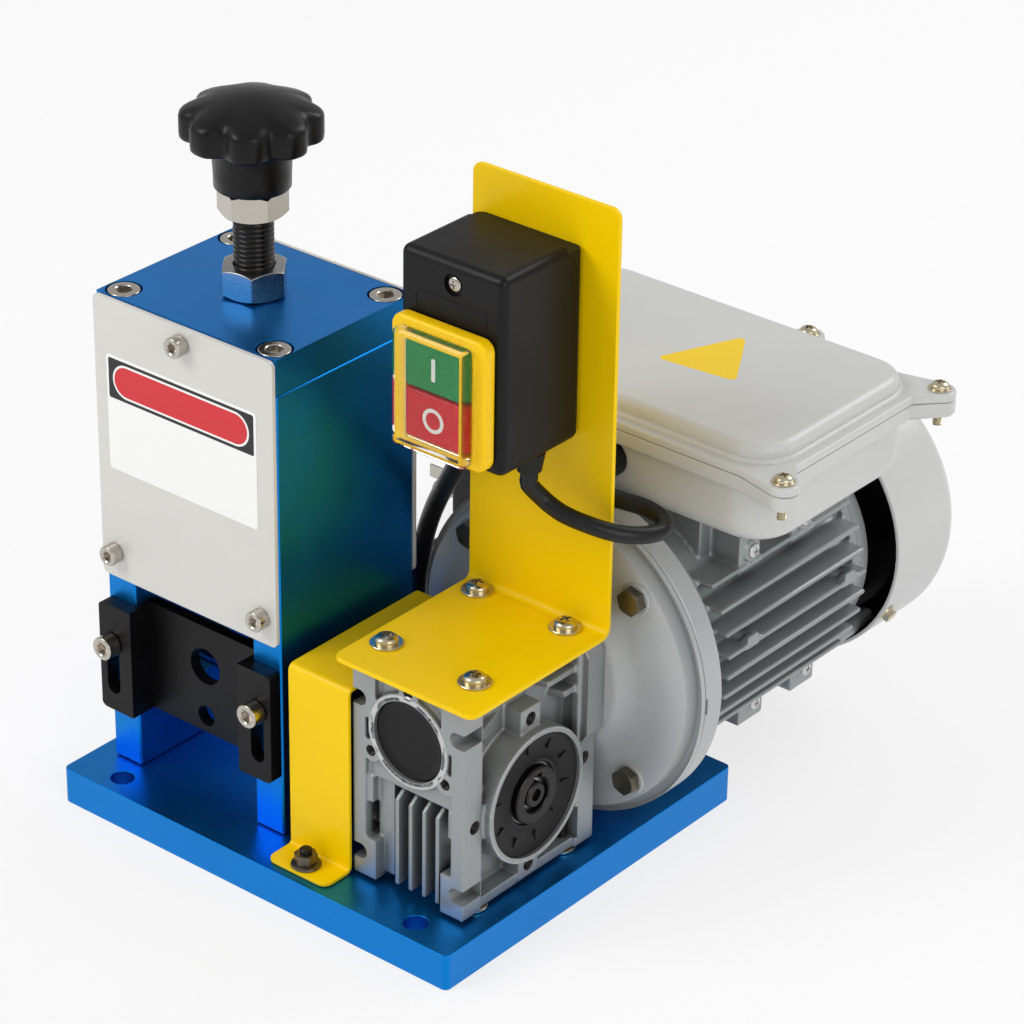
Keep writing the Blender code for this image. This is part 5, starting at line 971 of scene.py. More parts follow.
def nut(name, node, turn):
    """A hexagon nut with chamfered corners and a countersunk bore."""
    low, high = place(node)
    spot = middle(node)
    flats = 12.0
    height = high.z - low.z
    corner = flats / math.cos(math.pi / 6)
    body = rod(name, corner, (spot.x, spot.y, low.z), (spot.x, spot.y, high.z), 6)
    turn_about(body, spot, Z, turn)
    profile = [(0, 0), (flats * 0.97, 0), (corner + 0.1, 1.25), (corner + 0.1, height - 1.25),
               (flats * 0.97, height), (0, height)]
    cut(body, turned(name + "_cone", profile, (spot.x, spot.y, low.z), Z, 64), operation="INTERSECT")
    cut(body, rod(name + "_bore", 8.25, (spot.x, spot.y, low.z - 1), (spot.x, spot.y, high.z + 1), 48))
    return bevel(body, 0.3)


def knob():
    """Eight-lobed knob: upright lobes with rounded notches, a hub below and a smooth low dome above."""
    low, high = place("adjusting_knob")
    x, y = middle("adjusting_spindle").xy
    radius, lobes, depth = 27.6, 8, 3.9
    rim_low, shoulder = high.z - 18.5, high.z - 8.0
    # Radius, share of the notches' depth, and height of each ring
    rings = [(14.6, 0, low.z + 0.02), (15.0, 0, low.z + 0.5), (15.1, 0, low.z + 6),
             (15.6, 0, rim_low - 4.5), (17.2, 0.02, rim_low - 2.4), (20.5, 0.2, rim_low - 1.0),
             (24.6, 0.75, rim_low - 0.3), (26.7, 1, rim_low), (27.4, 1, rim_low + 0.8),
             (radius, 1, rim_low + 2.4), (radius, 1, shoulder - 1.6), (27.3, 1, shoulder - 0.4),
             (26.4, 0.95, shoulder + 0.7), (24.8, 0.7, shoulder + 1.7), (22.0, 0.34, shoulder + 2.9),
             (18.0, 0.1, shoulder + 4.4), (13.0, 0, shoulder + 6.0), (8.0, 0, shoulder + 7.1),
             (4.0, 0, shoulder + 7.7), (1.2, 0, high.z - 0.12)]
    sides, skin = lobes * 20, []
    for out, notch_share, z in rings:
        ring = []
        for index in range(sides):
            angle = math.tau * index / sides
            notch = ((1 - math.cos(lobes * angle)) / 2) ** 1.9
            reach = out - depth * notch_share * notch
            facing = angle + KNOB_FACING
            ring.append((x + reach * math.cos(facing), y + reach * math.sin(facing), z))
        skin.append(ring)
    piece = loft("lobed_knob", skin)
    cut(piece, rod("knob_bore", 8.3, (x, y, low.z - 2), (x, y, low.z + 14), 48))
    dress(piece, "spindle", KNOB, "adjusting_knob", slot="black_plastic", smooth=50, even=False)


def adjusting_screw():
    """Threaded spindle, two nuts and the knob."""
    high = place("adjusting_spindle")[1]
    x, y = middle("adjusting_spindle").xy
    carriage_top = place("blade_carriage")[1].z
    lower = mend(copied(nodes["adjusting_spindle"], "spindle_neck"))
    cut(lower, rod("above", 20, (x, y, carriage_top + 2), (x, y, high.z + 5), 32))
    thread = screw_thread("spindle_thread", 8.0, carriage_top + 1.9, high.z, x, y)
    whole = join("black_spindle", [lower, thread])
    dress(whole, "spindle", THREAD, "adjusting_spindle", slot="black_steel")
    turn = KNOB_FACING + math.pi / 6
    dress(nut("upper_nut", "knob_nut", turn + 0.5), "spindle", NICKEL, "knob_nut", slot="zinc_steel")
    dress(nut("head_nut", "lock_nut", turn), "lock", STEEL, "lock_nut", slot="zinc_steel")
    knob()


# Guard and bracket

def guard():
    """Bent yellow guard over the shaft, and the flange nut and stud on its foot."""
    softened_copy("drive_guard", "yellow_guard", 0.25, "frame", YELLOW, "yellow_sheet")
    low, high = place("guard_nut")
    spot = Vector((*middle("guard_nut").xy, low.z))
    rim = turned("nut_rim", [(0, 0), (6.0, 0), (6.2, 0.3), (6.0, 0.9), (4.6, 1.5), (0, 1.5)], spot, Z, 40)
    body = hex_bolt("nut_body", spot + Z * 1.2, Z, 8.4, 4.3, dome=0)
    stud_end = spot + Z * (high.z - low.z - 0.4)
    stud = rod("nut_stud", 2.5, spot + Z * 5.0, stud_end, 24)
    tip = rod("nut_stud_tip", 2.5, stud_end, spot + Z * (high.z - low.z), 24, end_radius=2.0)
    dress(join("flange_nut", [rim, body]), "frame", BOLT, "guard_nut", slot="zinc_steel")
    dress(join("foot_stud", [stud, tip]), "frame", THREAD, slot="black_steel")


def bracket():
    """Bent yellow bracket with four cross-recess screws on washers."""
    softened_copy("switch_bracket", "yellow_bracket", 0.3, "frame", YELLOW, "yellow_sheet")
    deck = 116.8
    for index, (x, y) in enumerate(rectangle(44, -57, 88, -3)):
        pan_screw("bracket_screw_%d" % index, (x, y, deck), Z, 4.6, 3.4, ZINC, washer_radius=6.6,
                  washer=1.0, turn=0.5 + index * 0.7)


# The gearbox

# The middle plane that the gearbox and the motor share
MID_X = 66.0
GEAR_X, GEAR_Y, FOOT, TOP = (38.0, 94.0), (-70.0, 10.0), 17.5, 114.5
DRIVE = Vector((MID_X, -30, 57.5))
WORM_Z = 87.5
WORM_LUGS = [(MID_X + 21.8 * math.cos(turn), WORM_Z + 21.8 * math.sin(turn))
             for turn in (math.radians(90), math.radians(211), math.radians(329))]


def across_x(name, outline, low, high):
    """A plate across X from a (y, z) outline."""
    return sheet(name, [outline], low, high, across=X)


def casting_shapes():
    """Posts, panels, rings, tabs, ribs and fins that melt into the gearbox casting."""
    x0, x1 = GEAR_X
    y0, y1 = GEAR_Y
    shapes = [block("gear_core", (x0 + 9, y0 + 13, FOOT + 2), (x1 - 9, y1 - 4, TOP - 3)),
              block("gear_foot", (x0 + 1.5, y0 + 12, FOOT), (x1 - 1.5, y1 - 1.5, FOOT + 4.5)),
              block("gear_cap", (x0 + 2, y0 + 2, TOP - 5), (x1 - 2, y1 - 2, TOP)),
              block("front_panel", (x0 + 3, y0 + 2.6, FOOT + 46), (x1 - 3, y0 + 14, TOP - 2)),
              block("fin_wall", (x0 + 9, y0 + 5, FOOT + 2), (x0 + 17, y0 + 14, FOOT + 48))]
    # Corner posts, thick at the slotted ends and narrow between: width, depth, foot and top of each block
    post = 11.5
    posts = ((post, post, FOOT, FOOT + 18), (post, post, TOP - 24, TOP), (6.5, 4.5, FOOT, TOP),
             (3.5, post, FOOT, TOP))
    for side, x in ((-1, x0), (1, x1)):
        for y_side, y in ((-1, y0), (1, y1)):
            for wide, deep, low, high in posts:
                near_x, far_x = sorted((x, x - side * wide))
                near_y, far_y = sorted((y, y - y_side * deep))
                shapes.append(block("post", (near_x, near_y, low), (far_x, far_y, high)))
    for side, face in ((-1, x0), (1, x1)):
        inner = face - side * 9
        # Output ring with four threaded tabs
        shapes.append(rod("output_ring", 28.5, (inner, DRIVE.y, DRIVE.z),
                          (face + side * 3.5, DRIVE.y, DRIVE.z), 96))
        near, far = sorted((inner, face - side * 0.4))
        for index in range(4):
            tab = block("output_tab", (near, 22, -6.0), (far, 38.6, 6.0))
            shapes.append(set_round(tab, (0, DRIVE.y, DRIVE.z), math.pi / 2 * index, "X"))
        # Flat ribs that taper from the front post and from the rear one: height, reach and thickness
        outer, tip = face - side * 1.0, face - side * 1.6
        for z, reach, thick in ((30, 7, 2.2), (38, 6, 2.2), (84, 15, 2.4), (93.5, 23, 2.4), (103, 33, 2.4)):
            plan = [(inner, y0 + 8), (outer, y0 + 8), (tip, y0 + 10), (inner, y0 + 10 + reach)]
            shapes.append(sheet("front_rib", [plan if side > 0 else plan[::-1]], z, z + thick))
        for z, reach, thick in ((30, 6, 2.2), (89, 10, 3.0), (98, 20, 3.0)):
            plan = [(inner, y1 - 8), (tip, y1 - 8), (tip, y1 - 8 - reach), (inner, y1 - 10 - reach)]
            shapes.append(sheet("rear_rib", [plan[::-1] if side > 0 else plan], z, z + thick))
    # Worm ring with its three lugs, all in one plane at the front
    shapes.append(rod("worm_ring", 20.2, (MID_X, y0 + 14, WORM_Z), (MID_X, y0, WORM_Z), 96))
    for x, z in WORM_LUGS:
        shapes.append(rod("worm_lug", 4.9, (x, y0 + 12, z), (x, y0, z), 32))
    # Four tall thin cooling fins between the posts, with tops that lean back
    for x in (59.6, 66.4, 73.2, 80.0):
        outline = [(y0 + 1, FOOT + 2), (y0 + 15, FOOT + 2), (y0 + 15, FOOT + 52), (y0 + 1, FOOT + 41)]
        shapes.append(across_x("front_fin", outline, x - 1.0, x + 1.0))
    shapes.append(rod("flange_neck", 36.0, (MID_X, y1 - 10, WORM_Z), (MID_X, y1, WORM_Z), 96))
    return shapes


def thread_lining(name, radius, depth, spot, axis):
    """The threaded wall of a tapped hole, as a lining with a ridge each turn and a closed foot."""
    profile, pitch = [(radius + 0.3, 0)], 1.0
    for index in range(int(depth / pitch)):
        profile += [(radius, -pitch * index - 0.1), (radius - 0.45, -pitch * index - 0.5)]
    profile += [(radius, -depth + 0.2), (0, -depth + 0.2), (0, -depth - 0.4),
                (radius + 0.3, -depth - 0.4), (radius + 0.3, 0)]
    return turned(name, profile, spot, axis, 28)


def bored_holes():
    """Cutters for the seats, holes, slots and pockets of the casting, and the linings of its holes."""
    x0, x1 = GEAR_X
    y0, y1 = GEAR_Y
    cutters = [rod("worm_seat", 17.1, (MID_X, y0 - 3, WORM_Z), (MID_X, y0 + 7.4, WORM_Z), 96)]
    linings = []
    for side, face in ((-1, x0), (1, x1)):
        cutters.append(rod("output_bore", 26.2, (face, DRIVE.y, DRIVE.z),
                           (face + side * 6, DRIVE.y, DRIVE.z), 96))
        for index in range(4):
            angle = math.pi / 2 * index
            y, z = DRIVE.y + 33.2 * math.cos(angle), DRIVE.z + 33.2 * math.sin(angle)
            cutters.append(rod("tab_hole", 2.9, (face - side * 8, y, z), (face + side * 4, y, z), 28))
            spot = (face - side * 0.6, y, z)
            linings.append(thread_lining("tab_thread", 2.6, 7.5, spot, Vector((side, 0, 0))))
    for x, z in WORM_LUGS:
        cutters.append(rod("worm_hole", 2.4, (x, y0 - 3, z), (x, y0 + 7, z), 24))
        linings.append(thread_lining("worm_thread", 2.1, 6.5, (x, y0 + 0.3, z), -Y))
    # Slots of the four front corners, open to the sides
    slot_half, slot_depth = 3.4, 10.5
    for side, x in ((-1, x0), (1, x1)):
        for z in (TOP - 16.5, FOOT + 10.5):
            near, far = sorted((x - side * 7.0, x + side * 4))
            outline = rounded(rectangle(near, z - slot_half, far, z + slot_half), slot_half - 0.05)
            cutters.append(sheet("post_slot", [outline], -y0 - slot_depth, -y0 + 2, across=-Y, edge=0.05))
        near, far = sorted((x - side * 9, x + side * 2))
        for y, deep in ((y0 + 11.6, 6.5), (y1 - 17.5, 7.5)):
            cutters.append(block("foot_pocket", (near, y, FOOT + 4.4), (far, y + deep, FOOT + 19)))
    return cutters, linings


def machined_faces():
    """Machined faces of the output rings, the worm ring and the worm lugs."""
    x0, x1 = GEAR_X
    y0 = GEAR_Y[0]
    profile = [(26.25, -1.0), (26.25, -0.25), (26.5, -0.02), (28.0, -0.02), (28.35, -0.3),
               (28.35, -1.0), (26.25, -1)]
    for name, face, axis in (("output_face_right", x1 + 3.5, X), ("output_face_left", x0 - 3.5, -X)):
        ring = turned(name, profile, (face, DRIVE.y, DRIVE.z), axis, 96)
        dress(ring, "frame", MACHINED, slot="cast_aluminium")
    profile = [(17.15, -1.0), (17.15, -0.2), (17.4, 0), (19.5, 0), (19.9, -0.3), (19.9, -1.0),
               (17.15, -1)]
    faces = [turned("worm_face", profile, (MID_X, y0, WORM_Z), -Y, 96)]
    profile = [(2.45, -1.0), (2.45, -0.01), (4.2, -0.01), (4.5, -0.3), (4.5, -1.0), (2.45, -1)]
    faces += [turned("lug_face", profile, (x, y0, z), -Y, 40) for x, z in WORM_LUGS]
    dress(join("worm_ring_face", faces), "frame", MACHINED, slot="cast_aluminium")


def seals():
    """Rubber seals with a raised lip and tick marks."""
    profile = [(12.9, -5.5), (12.9, -1.8), (13.4, -1.0), (14.6, -0.8), (15.4, -1.4), (17.0, -1.9),
               (19.5, -2.0), (21.0, -1.6), (23.6, -1.2), (25.0, -0.2), (25.9, -0.2), (25.95, -5.5),
               (12.9, -5.5)]
    for node, face, axis in (("output_seal_right", GEAR_X[1] + 2.2, X),
                             ("output_seal_left", GEAR_X[0] - 2.2, -X)):
        spot = (face, DRIVE.y, DRIVE.z)
        ticks = [turned(node.replace("output", "lip"), profile, spot, axis, 96)]
        base = -2.4 * axis.x
        for index in range(10):
            tick = block("tick", (base - 0.6, -0.45, 18.6), (base + 1.4, 0.45, 22.6))
            ticks.append(set_round(tick, spot, math.tau * index / 10 + 0.13, "X"))
        dress(join(node.replace("output", "ticked"), ticks), "frame", RUBBER, node, slot="black_rubber")


def worm_cap():
    """Dished black cap in front of the worm shaft."""
    profile = [(0, -0.6), (12.5, -0.6), (14.2, -0.5), (15.0, 0), (16.4, 0), (16.95, -0.6),
               (16.95, -5.5), (0, -5.5)]
    cap = turned("dished_cap", profile, (MID_X, -68.5, WORM_Z), -Y, 96)
    dress(cap, "frame", BLACK, "worm_end_cap", slot="black_plastic")


def foot_studs():
    """Studs in the gearbox's feet, and plated washers under the feet."""
    for node in ("foot_spacer_front_left", "foot_spacer_front_right", "foot_spacer_back_left",
                 "foot_spacer_back_right"):
        low, high = place(node)
        x, y = middle(node).xy
        thick = high.z - low.z
        profile = [(0, 0), (5.8, 0), (6, 0.15), (6, thick - 0.15), (5.8, thick), (0, thick)]
        washer = turned(node.replace("spacer", "washer"), profile, (x, y, low.z), Z, 48)
        dress(washer, "frame", ZINC, node, slot="zinc_steel")
        stud = screw_thread(node.replace("spacer", "stud"), 2.5, high.z, FOOT + 17, x, y, pitch=1.0,
                            depth=0.5)
        dress(stud, "frame", THREAD, slot="black_steel")


def gearbox():
    """Die-cast housing with its machined faces, seals, worm cap and feet."""
    body = cast(join("gear_casting", casting_shapes()), 0.55)
    # Flat outer limits, so that the soft skin keeps the CAD's size
    low, high = (GEAR_X[0] - 3.5, GEAR_Y[0], FOOT), (GEAR_X[1] + 3.5, GEAR_Y[1], TOP)
    cut(body, block("limits", low, high), operation="INTERSECT")
    cutters, linings = bored_holes()
    cut(body, *cutters)
    dress(body, "frame", CASTING, "gearbox_housing", slot="cast_aluminium", smooth=32, even=False)
    dress(join("tapped_holes", linings), "frame", THREAD, slot="black_steel")
    machined_faces()
    seals()
    worm_cap()
    foot_studs()


def sleeve():
    """Bored steel output sleeve with its keyway, and the drive shaft's end screw."""
    low, high = place("output_sleeve")
    length = high.x - low.x
    profile = [(7.3, 0), (7.3, length - 0.6), (7.8, length), (11.6, length), (12.2, length - 0.6),
               (12.2, 0), (7.3, 0)]
    tube = turned("keyed_sleeve", profile, (low.x, DRIVE.y, DRIVE.z), X, 96)
    cut(tube, block("keyway", (low.x - 2, DRIVE.y - 2.5, DRIVE.z + 5),
                    (high.x + 2, DRIVE.y + 2.5, DRIVE.z + 9.6)))
    dress(tube, "drive", THREAD, "output_sleeve", slot="steel")
    end = place("drive_shaft")[1].x
    profile = [(0, 0), (5.0, 0), (5.4, 0.5), (5.4, 2.0), (4.8, 2.6), (2.6, 2.6), (2.3, 1.0), (0, 1.0)]
    screw = turned("shaft_screw", profile, (end, DRIVE.y, DRIVE.z), X, 48)
    dress(screw, "drive", THREAD, slot="black_steel")


# Flanges and motor

MOTOR = Vector((MID_X, 0, WORM_Z))


def flanges():
    """Domed gearbox flange and stepped motor flange, with four hexagon bolts."""
    low, high = place("gearbox_flange")
    depth = high.y - low.y
    profile = [(15, 0), (35, 0), (37.5, 1.2), (41, 3.0), (47, 4.4), (55, 5.5), (62, 6.5), (65.5, 7.6)]
    profile += arc(65.5, 12.0, 4.4, 80, 0, 6) + [(70, depth - 0.6), (69.6, depth), (15, depth)]
    front = turned("domed_flange", profile, (MID_X, low.y, MOTOR.z), Y, 128)
    low, high = place("motor_flange")
    depth = high.y - low.y
    profile = [(16.5, 0), (69.6, 0), (70, 0.5), (70, 9.6), (68.8, 11.0), (61, 11.6), (58.6, 12.4),
               (57.0, 14.2), (55.6, 17), (55.4, depth), (16.5, depth)]
    back = turned("stepped_flange", profile, (MID_X, low.y, MOTOR.z), Y, 128)
    for piece in (front, back):
        cut(piece, block("joint_slot", (130, 21.0, MOTOR.z - 4), (140, 26.2, MOTOR.z + 3)))
    dress(front, "frame", ENAMEL, "gearbox_flange", slot="cast_aluminium", smooth=28, even=False)
    dress(back, "frame", ENAMEL, "motor_flange", slot="cast_aluminium", smooth=28, even=False)
    for index in range(4):
        angle = math.pi / 4 + math.pi / 2 * index
        x, z = MID_X + 57.5 * math.cos(angle), MOTOR.z + 57.5 * math.sin(angle)
        seat = turned("bolt_seat_%d" % index, [(0, -4), (6.8, -4), (6.8, 0.4), (6.4, 0.7), (0, 0.7)],
                      (x, 16.4, z), -Y, 40)
        dress(seat, "frame", ENAMEL, slot="cast_aluminium")
        bolt = hex_bolt("flange_bolt_%d" % index, (x, 15.7, z), -Y, 10.0, 4.2, turn=0.3 + index)
        dress(bolt, "frame", BOLT, slot="zinc_steel")


def motor_body():
    """Finned die-cast motor body with mounting lugs, bosses and their screws."""
    low, high = place("motor_housing")
    y0, y1, z0 = low.y, high.y, MOTOR.z
    foot_z, boss_z, peg_z = z0 - 38.5, z0 + 39.5, z0 + 6.4
    shapes = [rod("motor_core", 50.0, (MID_X, y0, z0), (MID_X, y1, z0), 96),
              rod("front_collar", 54.0, (MID_X, y0, z0), (MID_X, y0 + 6, z0), 96),
              rod("rear_collar", 53.0, (MID_X, y1 - 5, z0), (MID_X, y1, z0), 96),
              block("box_pad", (31, 64.3, z0 + 35), (101, 130.3, z0 + 60.2))]
    lug_y, boss_y, peg_y = (92.0, 127.5), (78.8, 113.8), (72.0, 138.0)
    for side in (-1, 1):
        for index in range(8):
            z = (index - 3.5) * 9.4
            near, far = sorted((side * 30, side * math.sqrt(60.0 ** 2 - z ** 2)))
            shapes.append(block("fin", (MID_X + near, y0 + 7, z0 + z - 1.1),
                                (MID_X + far, y1 - 5, z0 + z + 1.1)))
        # Square foot lugs below the fins with a round boss each
        for y in lug_y:
            x = MID_X + side * 36
            shapes.append(block("foot_lug", (x - 8, y - 8, z0 - 47), (x + 8, y + 8, z0 - 30)))
            shapes.append(rod("foot_boss", 4.6, (x, y, foot_z), (x + side * 9.6, y, foot_z), 32))
        for y in boss_y:
            x = MID_X + side * 41
            shapes.append(block("boss", (x - 8, y - 7, z0 + 30), (x + 8, y + 7, z0 + 47)))
            shapes.append(rod("boss_end", 4.8, (x, y, boss_z), (x + side * 9.8, y, boss_z), 32))
        for y in peg_y:
            near, far = MID_X + side * 45, MID_X + side * 59
            shapes.append(rod("fin_peg", 2.8, (near, y - 6, peg_z), (far, y, peg_z), 24))
            shapes.append(rod("fin_peg", 2.8, (far, y, peg_z), (far, y - 7, peg_z), 24))
    for x in (MID_X - 16, MID_X, MID_X + 16):
        shapes.append(block("low_fin", (x - 1.4, y0 + 7, z0 - 58), (x + 1.4, y1 - 5, z0 - 40)))
    body = cast(join("finned_body", shapes), 0.75)
    cut(body, block("limits", (6, y0, z0 - 60), (126, y1, z0 + 60.3)), operation="INTERSECT")
    dress(body, "frame", CASTING, "motor_housing", slot="cast_aluminium", smooth=32, even=False)
    # Screws in the lugs and bosses: name, places along the motor, reach, height, head radius and height
    kinds = (("foot_screw", lug_y, 45.5, foot_z, 3.0, 1.4), ("boss_screw", boss_y, 50.6, boss_z, 3.2, 1.6))
    for side, hand in ((-1, "left"), (1, "right")):
        for name, rows, reach, z, radius, height in kinds:
            for index, y in enumerate(rows):
                pan_screw("%s_%d_%s" % (name, index, hand), (MID_X + side * reach, y, z), (side, 0, 0),
                          radius, height, MACHINED)


def motor_rear():
    """End shield with its lugs, the fan's disc, and the drawn fan cover with an air grille."""
    low, high = place("motor_end_shield")
    profile = [(8, 0), (51.4, 0), (52, 0.6), (52, 6.5), (50.5, 8.8), (44, 9.6), (30, 9.6), (26, 14),
               (15, 16), (8, 16), (8, 0)]
    lugs = [turned("cast_shield", profile, (MID_X, low.y, MOTOR.z), Y, 96)]
    for index in range(4):
        angle = math.pi / 4 + math.pi / 2 * index
        x, z = MID_X + 50 * math.cos(angle), MOTOR.z + 50 * math.sin(angle)
        lugs.append(rod("shield_lug", 6.5, (x, low.y, z), (x, low.y + 8.5, z), 32))
        arm_x, arm_z = MID_X + 55.0 * math.cos(angle), MOTOR.z + 55.0 * math.sin(angle)
        lugs.append(rod("cover_lug", 3.8, (arm_x, low.y + 1, arm_z), (arm_x, high.y, arm_z), 24))
    dress(join("end_shield", lugs), "frame", CASTING, "motor_end_shield", slot="cast_aluminium")
    low, high = place("fan_cover")
    depth, wall, round_edge = high.y - low.y, 1.4, 10.0
    outside = [(61 - 0.5, 0), (61, 0.4)] + arc(51, depth - round_edge, round_edge, 0, 90, 10)
    inside = [(0, depth), (0, depth - wall)] + arc(51, depth - round_edge, round_edge - wall, 90, 0, 10)
    mouth = [(61 - wall, 0), (60.5, 0)]
    shell = turned("fan_shell", outside + inside + mouth, (MID_X, low.y, MOTOR.z), Y, 128)
    slots = []
    for near, far, count in ((16, 27, 12), (30, 44, 24)):
        for index in range(count):
            slot = bevel(block("air_slot", (near, depth - 6, -1.9), (far, depth + 3, 1.9)), 1.6, 3)
            slots.append(set_round(slot, (MID_X, low.y, MOTOR.z), math.tau * index / count, "Y"))
    cut(shell, *slots)
    dress(shell, "frame", BOX, "fan_cover", slot="grey_paint", smooth=30, even=False)
    # Painted shade: the inside faces of the cover get the dark oxide material, so that its slots look dark
    # inside
    shell.data.materials.append(OXIDE)
    for face in shell.data.polygons:
        out = face.center - Vector((MID_X, 0, MOTOR.z)) * mm
        out.y = 0
        if out.dot(face.normal) < -0.0005 or (face.normal.y < -0.5 and out.length < 59.5 * mm):
            face.material_index = 1
    fan_back = place("cooling_fan")[1].y
    profile = [(8, 0), (50, 0), (50.4, 0.4), (50, 1.2), (8, 1.2), (8, 0)]
    disc = turned("fan_disc", profile, (MID_X, fan_back, MOTOR.z), Y, 96)
    dress(disc, "motor", BLACK, slot="black_plastic")
    for index in range(4):
        angle = math.radians(90 * index - 28)
        out = Vector((math.cos(angle), 0, math.sin(angle)))
        spot = Vector((MID_X, low.y + 4.5, MOTOR.z)) + out * 60.9
        screw = hex_bolt("cover_bolt_%d" % index, spot, out, 5.5, 2.6, washer=0.6)
        dress(screw, "frame", ZINC, slot="zinc_steel")


# The terminal box

# Middles of the corner ears, by side and by end, and of the ear in the back edge
EARS = {(1, -1): (153.5, 43.9), (1, 1): (153.7, 147.5), (-1, 1): (-21.7, 147.5), (-1, -1): (-21.5, 43.9)}
REAR_EAR_X = 86.0


def eared(left, front, right, back, inset):
    """A rim with a small round ear at each corner and one at the middle of its back edge."""
    ear_radius, reach = 6.7 - inset, 15.0
    outline = []
    for sx, sy in ((1, -1), (1, 1), (-1, 1), (-1, -1)):
        x = (right - inset) if sx > 0 else (left + inset)
        y = (back - inset) if sy > 0 else (front + inset)
        ear = Vector(EARS[(sx, sy)])
        along_x, along_y = (x - sx * reach, y), (x, y - sy * reach)
        facing = math.atan2(sy, sx)
        lobe = [tuple(ear + ear_radius * Vector((math.cos(facing + turn), math.sin(facing + turn))))
                for turn in [math.radians(-65 + 13 * step) for step in range(11)]]
        outline += ([along_x] + lobe + [along_y]) if sx * sy < 0 else ([along_y] + lobe + [along_x])
        if sx > 0 and sy > 0:
            turns = [math.radians(10 + 16 * step) for step in range(11)]
            outline += [(REAR_EAR_X + 12, back - inset)]
            outline += [(REAR_EAR_X + ear_radius * math.cos(turn), back + 3.8 + ear_radius * math.sin(turn))
                        for turn in turns]
            outline += [(REAR_EAR_X - 12, back - inset)]
    return outline


def terminal_box():
    """Enamelled box with a soft foot, an eared rim and a stepped lid held by screws."""
    low, high = place("terminal_box")
    base_z, rim_z = low.z, high.z
    left, right, front, back = -14.0, 146.0, 45.7, 145.7
    over = 4.0

    def wall(inset, corner=20):
        corners = rectangle(left + inset, front + inset, right - inset, back - inset)
        return rounded(corners, corner - inset, 8)

    def rim(inset):
        return eared(left - over, front - over, right + over, back + over, inset)

    body = moulded("box_body", wall, base_z, rim_z - 3, foot=9.0)
    gland = middle("motor_cable_gland")
    cut(body, rod("gland_hole", 5.3, (gland.x, front - 2, gland.z), (gland.x, front + 6, gland.z), 32))
    collar = moulded("box_collar", rim, rim_z - 6.4, rim_z, foot=1.2, crown=0.5, steps=3)
    dress(join("moulded_box", [body, collar]), "frame", BOX, "terminal_box", slot="grey_paint", smooth=40)
    low, high = place("terminal_lid")
    plate = moulded("lid_rim", rim, low.z, low.z + 3.4, foot=0.5, crown=1.2, steps=3)
    crown = moulded("lid_crown", lambda inset: wall(inset + 1.5, 18), low.z + 1, high.z, crown=4.0)
    cove = moulded("lid_cove", lambda inset: wall(inset - 0.6, 19), low.z + 1, low.z + 5.2, crown=2.0,
                   steps=4)
    lid = join("stepped_lid", [plate, cove, crown])
    dress(lid, "frame", BOX, "terminal_lid", slot="grey_paint", smooth=40)
    for index, (x, y) in enumerate(list(EARS.values()) + [(REAR_EAR_X, back + over + 3.6)]):
        pan_screw("lid_screw_%d" % index, (x, y, low.z + 3.4), Z, 3.6, 2.6, ZINC, washer_radius=4.6,
                  washer=0.7, turn=0.2 + index * 0.9)
        end = screw_thread("lid_screw_end_%d" % index, 1.9, rim_z - 12, rim_z - 6, x, y, pitch=0.8,
                           depth=0.4)
        dress(end, "frame", ZINC, slot="zinc_steel")


def mark_on_lid():
    """A plain yellow triangle film on the lid, with nothing printed on it."""
    top = place("terminal_lid")[1].z
    corners = [(61, 84), (98, 88), (77, 123)]
    mark = sheet("lid_film", [rounded(corners, 2.2, 5)], top - 0.05, top, edge=0.02)
    dress(mark, "frame", YELLOW_INK)


# The switch

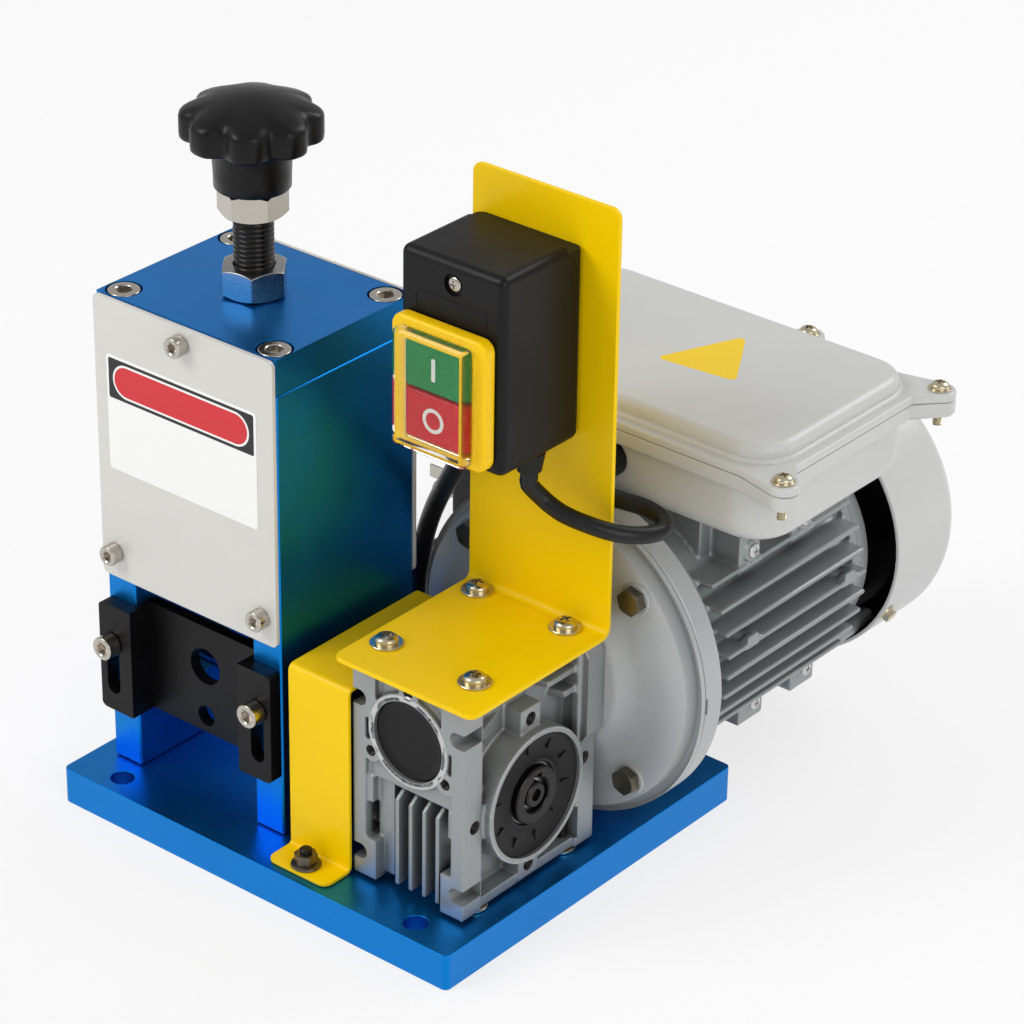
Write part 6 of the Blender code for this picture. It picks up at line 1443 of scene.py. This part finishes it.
def switch():
    """Black switch box, yellow frame, two buttons and a clear soft cover."""
    low, high = place("switch_box")
    box = block("black_box", low, high)
    bevel(box, 3.6, 5)
    step = block("box_step", (low.x - 2, high.y - 9, high.z - 2.2), (high.x + 2, high.y + 2, high.z + 2))
    cut(box, step)
    x, z = (low.x + high.x) / 2, high.z - 9
    cut(box, rod("recess", 4.4, (x + 1, low.y - 2, z), (x + 1, low.y + 1.4, z), 40))
    # The opening for the two buttons, from its lower left to its upper right corner
    left, foot, right, top = 43.5, 203.5, 79.5, 249.5
    cut(box, block("pocket", (left, low.y - 2, foot), (right, high.y - 2.4, top)))
    dress(box, "frame", BLACK, "switch_box", slot="black_plastic")
    pan_screw("box_screw", (x + 1, low.y + 1.5, z), -Y, 3.0, 1.5, NICKEL, turn=0.9)
    outer = rounded(rectangle(x - 17, z - 14.5, x + 17, z - 6.5), 1.5)
    inner = rounded(rectangle(x - 16.4, z - 13.9, x + 16.4, z - 7.1), 1.1)
    line = sheet("box_line", [outer, inner], -low.y - 0.2, -low.y + 0.15, across=-Y, edge=0.05)
    dress(line, "frame", BLACK, slot="black_plastic")
    low, high = place("switch_frame")
    outline = rounded(rectangle(low.x, low.z, high.x, high.z), 5.0, 8)
    window = rounded(rectangle(46.7, 204.6, 77.8, 248.6), 1.6, 4)
    frame_piece = sheet("yellow_frame", [outline, window], -high.y, -low.y, across=-Y, edge=1.3)
    dress(frame_piece, "frame", FRAME_YELLOW, "switch_frame", slot="yellow_plastic", smooth=60)
    for node, name, body, material, slot in (
            ("on_button", "green_button", "start", GREEN, "green_plastic"),
            ("off_button", "red_button", "stop", RED, "red_plastic")):
        low, high = place(node)
        button = bevel(block(name, low, high), 1.6, 4)
        dress(button, body, material, node, slot=slot)
        x, z = (low.x + high.x) / 2, (low.z + high.z) / 2
        bar = rounded(rectangle(x - 0.9, z - 4.6, x + 0.9, z + 4.6), 0.5)
        ring = [circle(x, z, 5.0), circle(x, z, 3.5)]
        mark = ("mark_on", [bar]) if body == "start" else ("mark_off", ring)
        film(*mark, -low.y - 0.1, -low.y + 0.18, 0.04, WHITE_INK, body)
    low, high = place("switch_cover")
    shell = block("soft_cover", low, high)
    bevel(shell, 2.4, 4)
    cut(shell, block("cover_room", (low.x + 2.6, low.y + 0.9, low.z + 2.6),
                     (high.x - 2.6, high.y + 3, high.z - 2.6)))
    dress(shell, "frame", CLEAR, "switch_cover", slot="clear_plastic")


# Plain CAD nodes keep their shape and get their finish

def finish_inner_nodes():
    """Materials for the pieces whose CAD shape stays."""
    finishes = {STEEL: ("drive_bearing_left", "drive_bearing_right", "drive_shaft", "feed_roller",
                        "worm_shaft", "blade_shaft", "stripping_blade", "motor_rotor"),
                OXIDE: ("blade_carriage",), BRONZE: ("worm_wheel",), COPPER: ("motor_stator",),
                BLACK: ("cooling_fan", "motor_cable_gland"), RUBBER: ("switch_cable_bush",),
                MACHINED: ("run_capacitor",)}
    for material, names in finishes.items():
        for name in names:
            piece = nodes[name]
            piece.data.materials.clear()
            piece.data.materials.append(material)


set_camera()
cords()
set_floor()
set_light()
head()
covers()
rear_screws()
guide()
adjusting_screw()
guard()
bracket()
gearbox()
sleeve()
flanges()
motor_body()
motor_rear()
terminal_box()
mark_on_lid()
switch()
finish_inner_nodes()
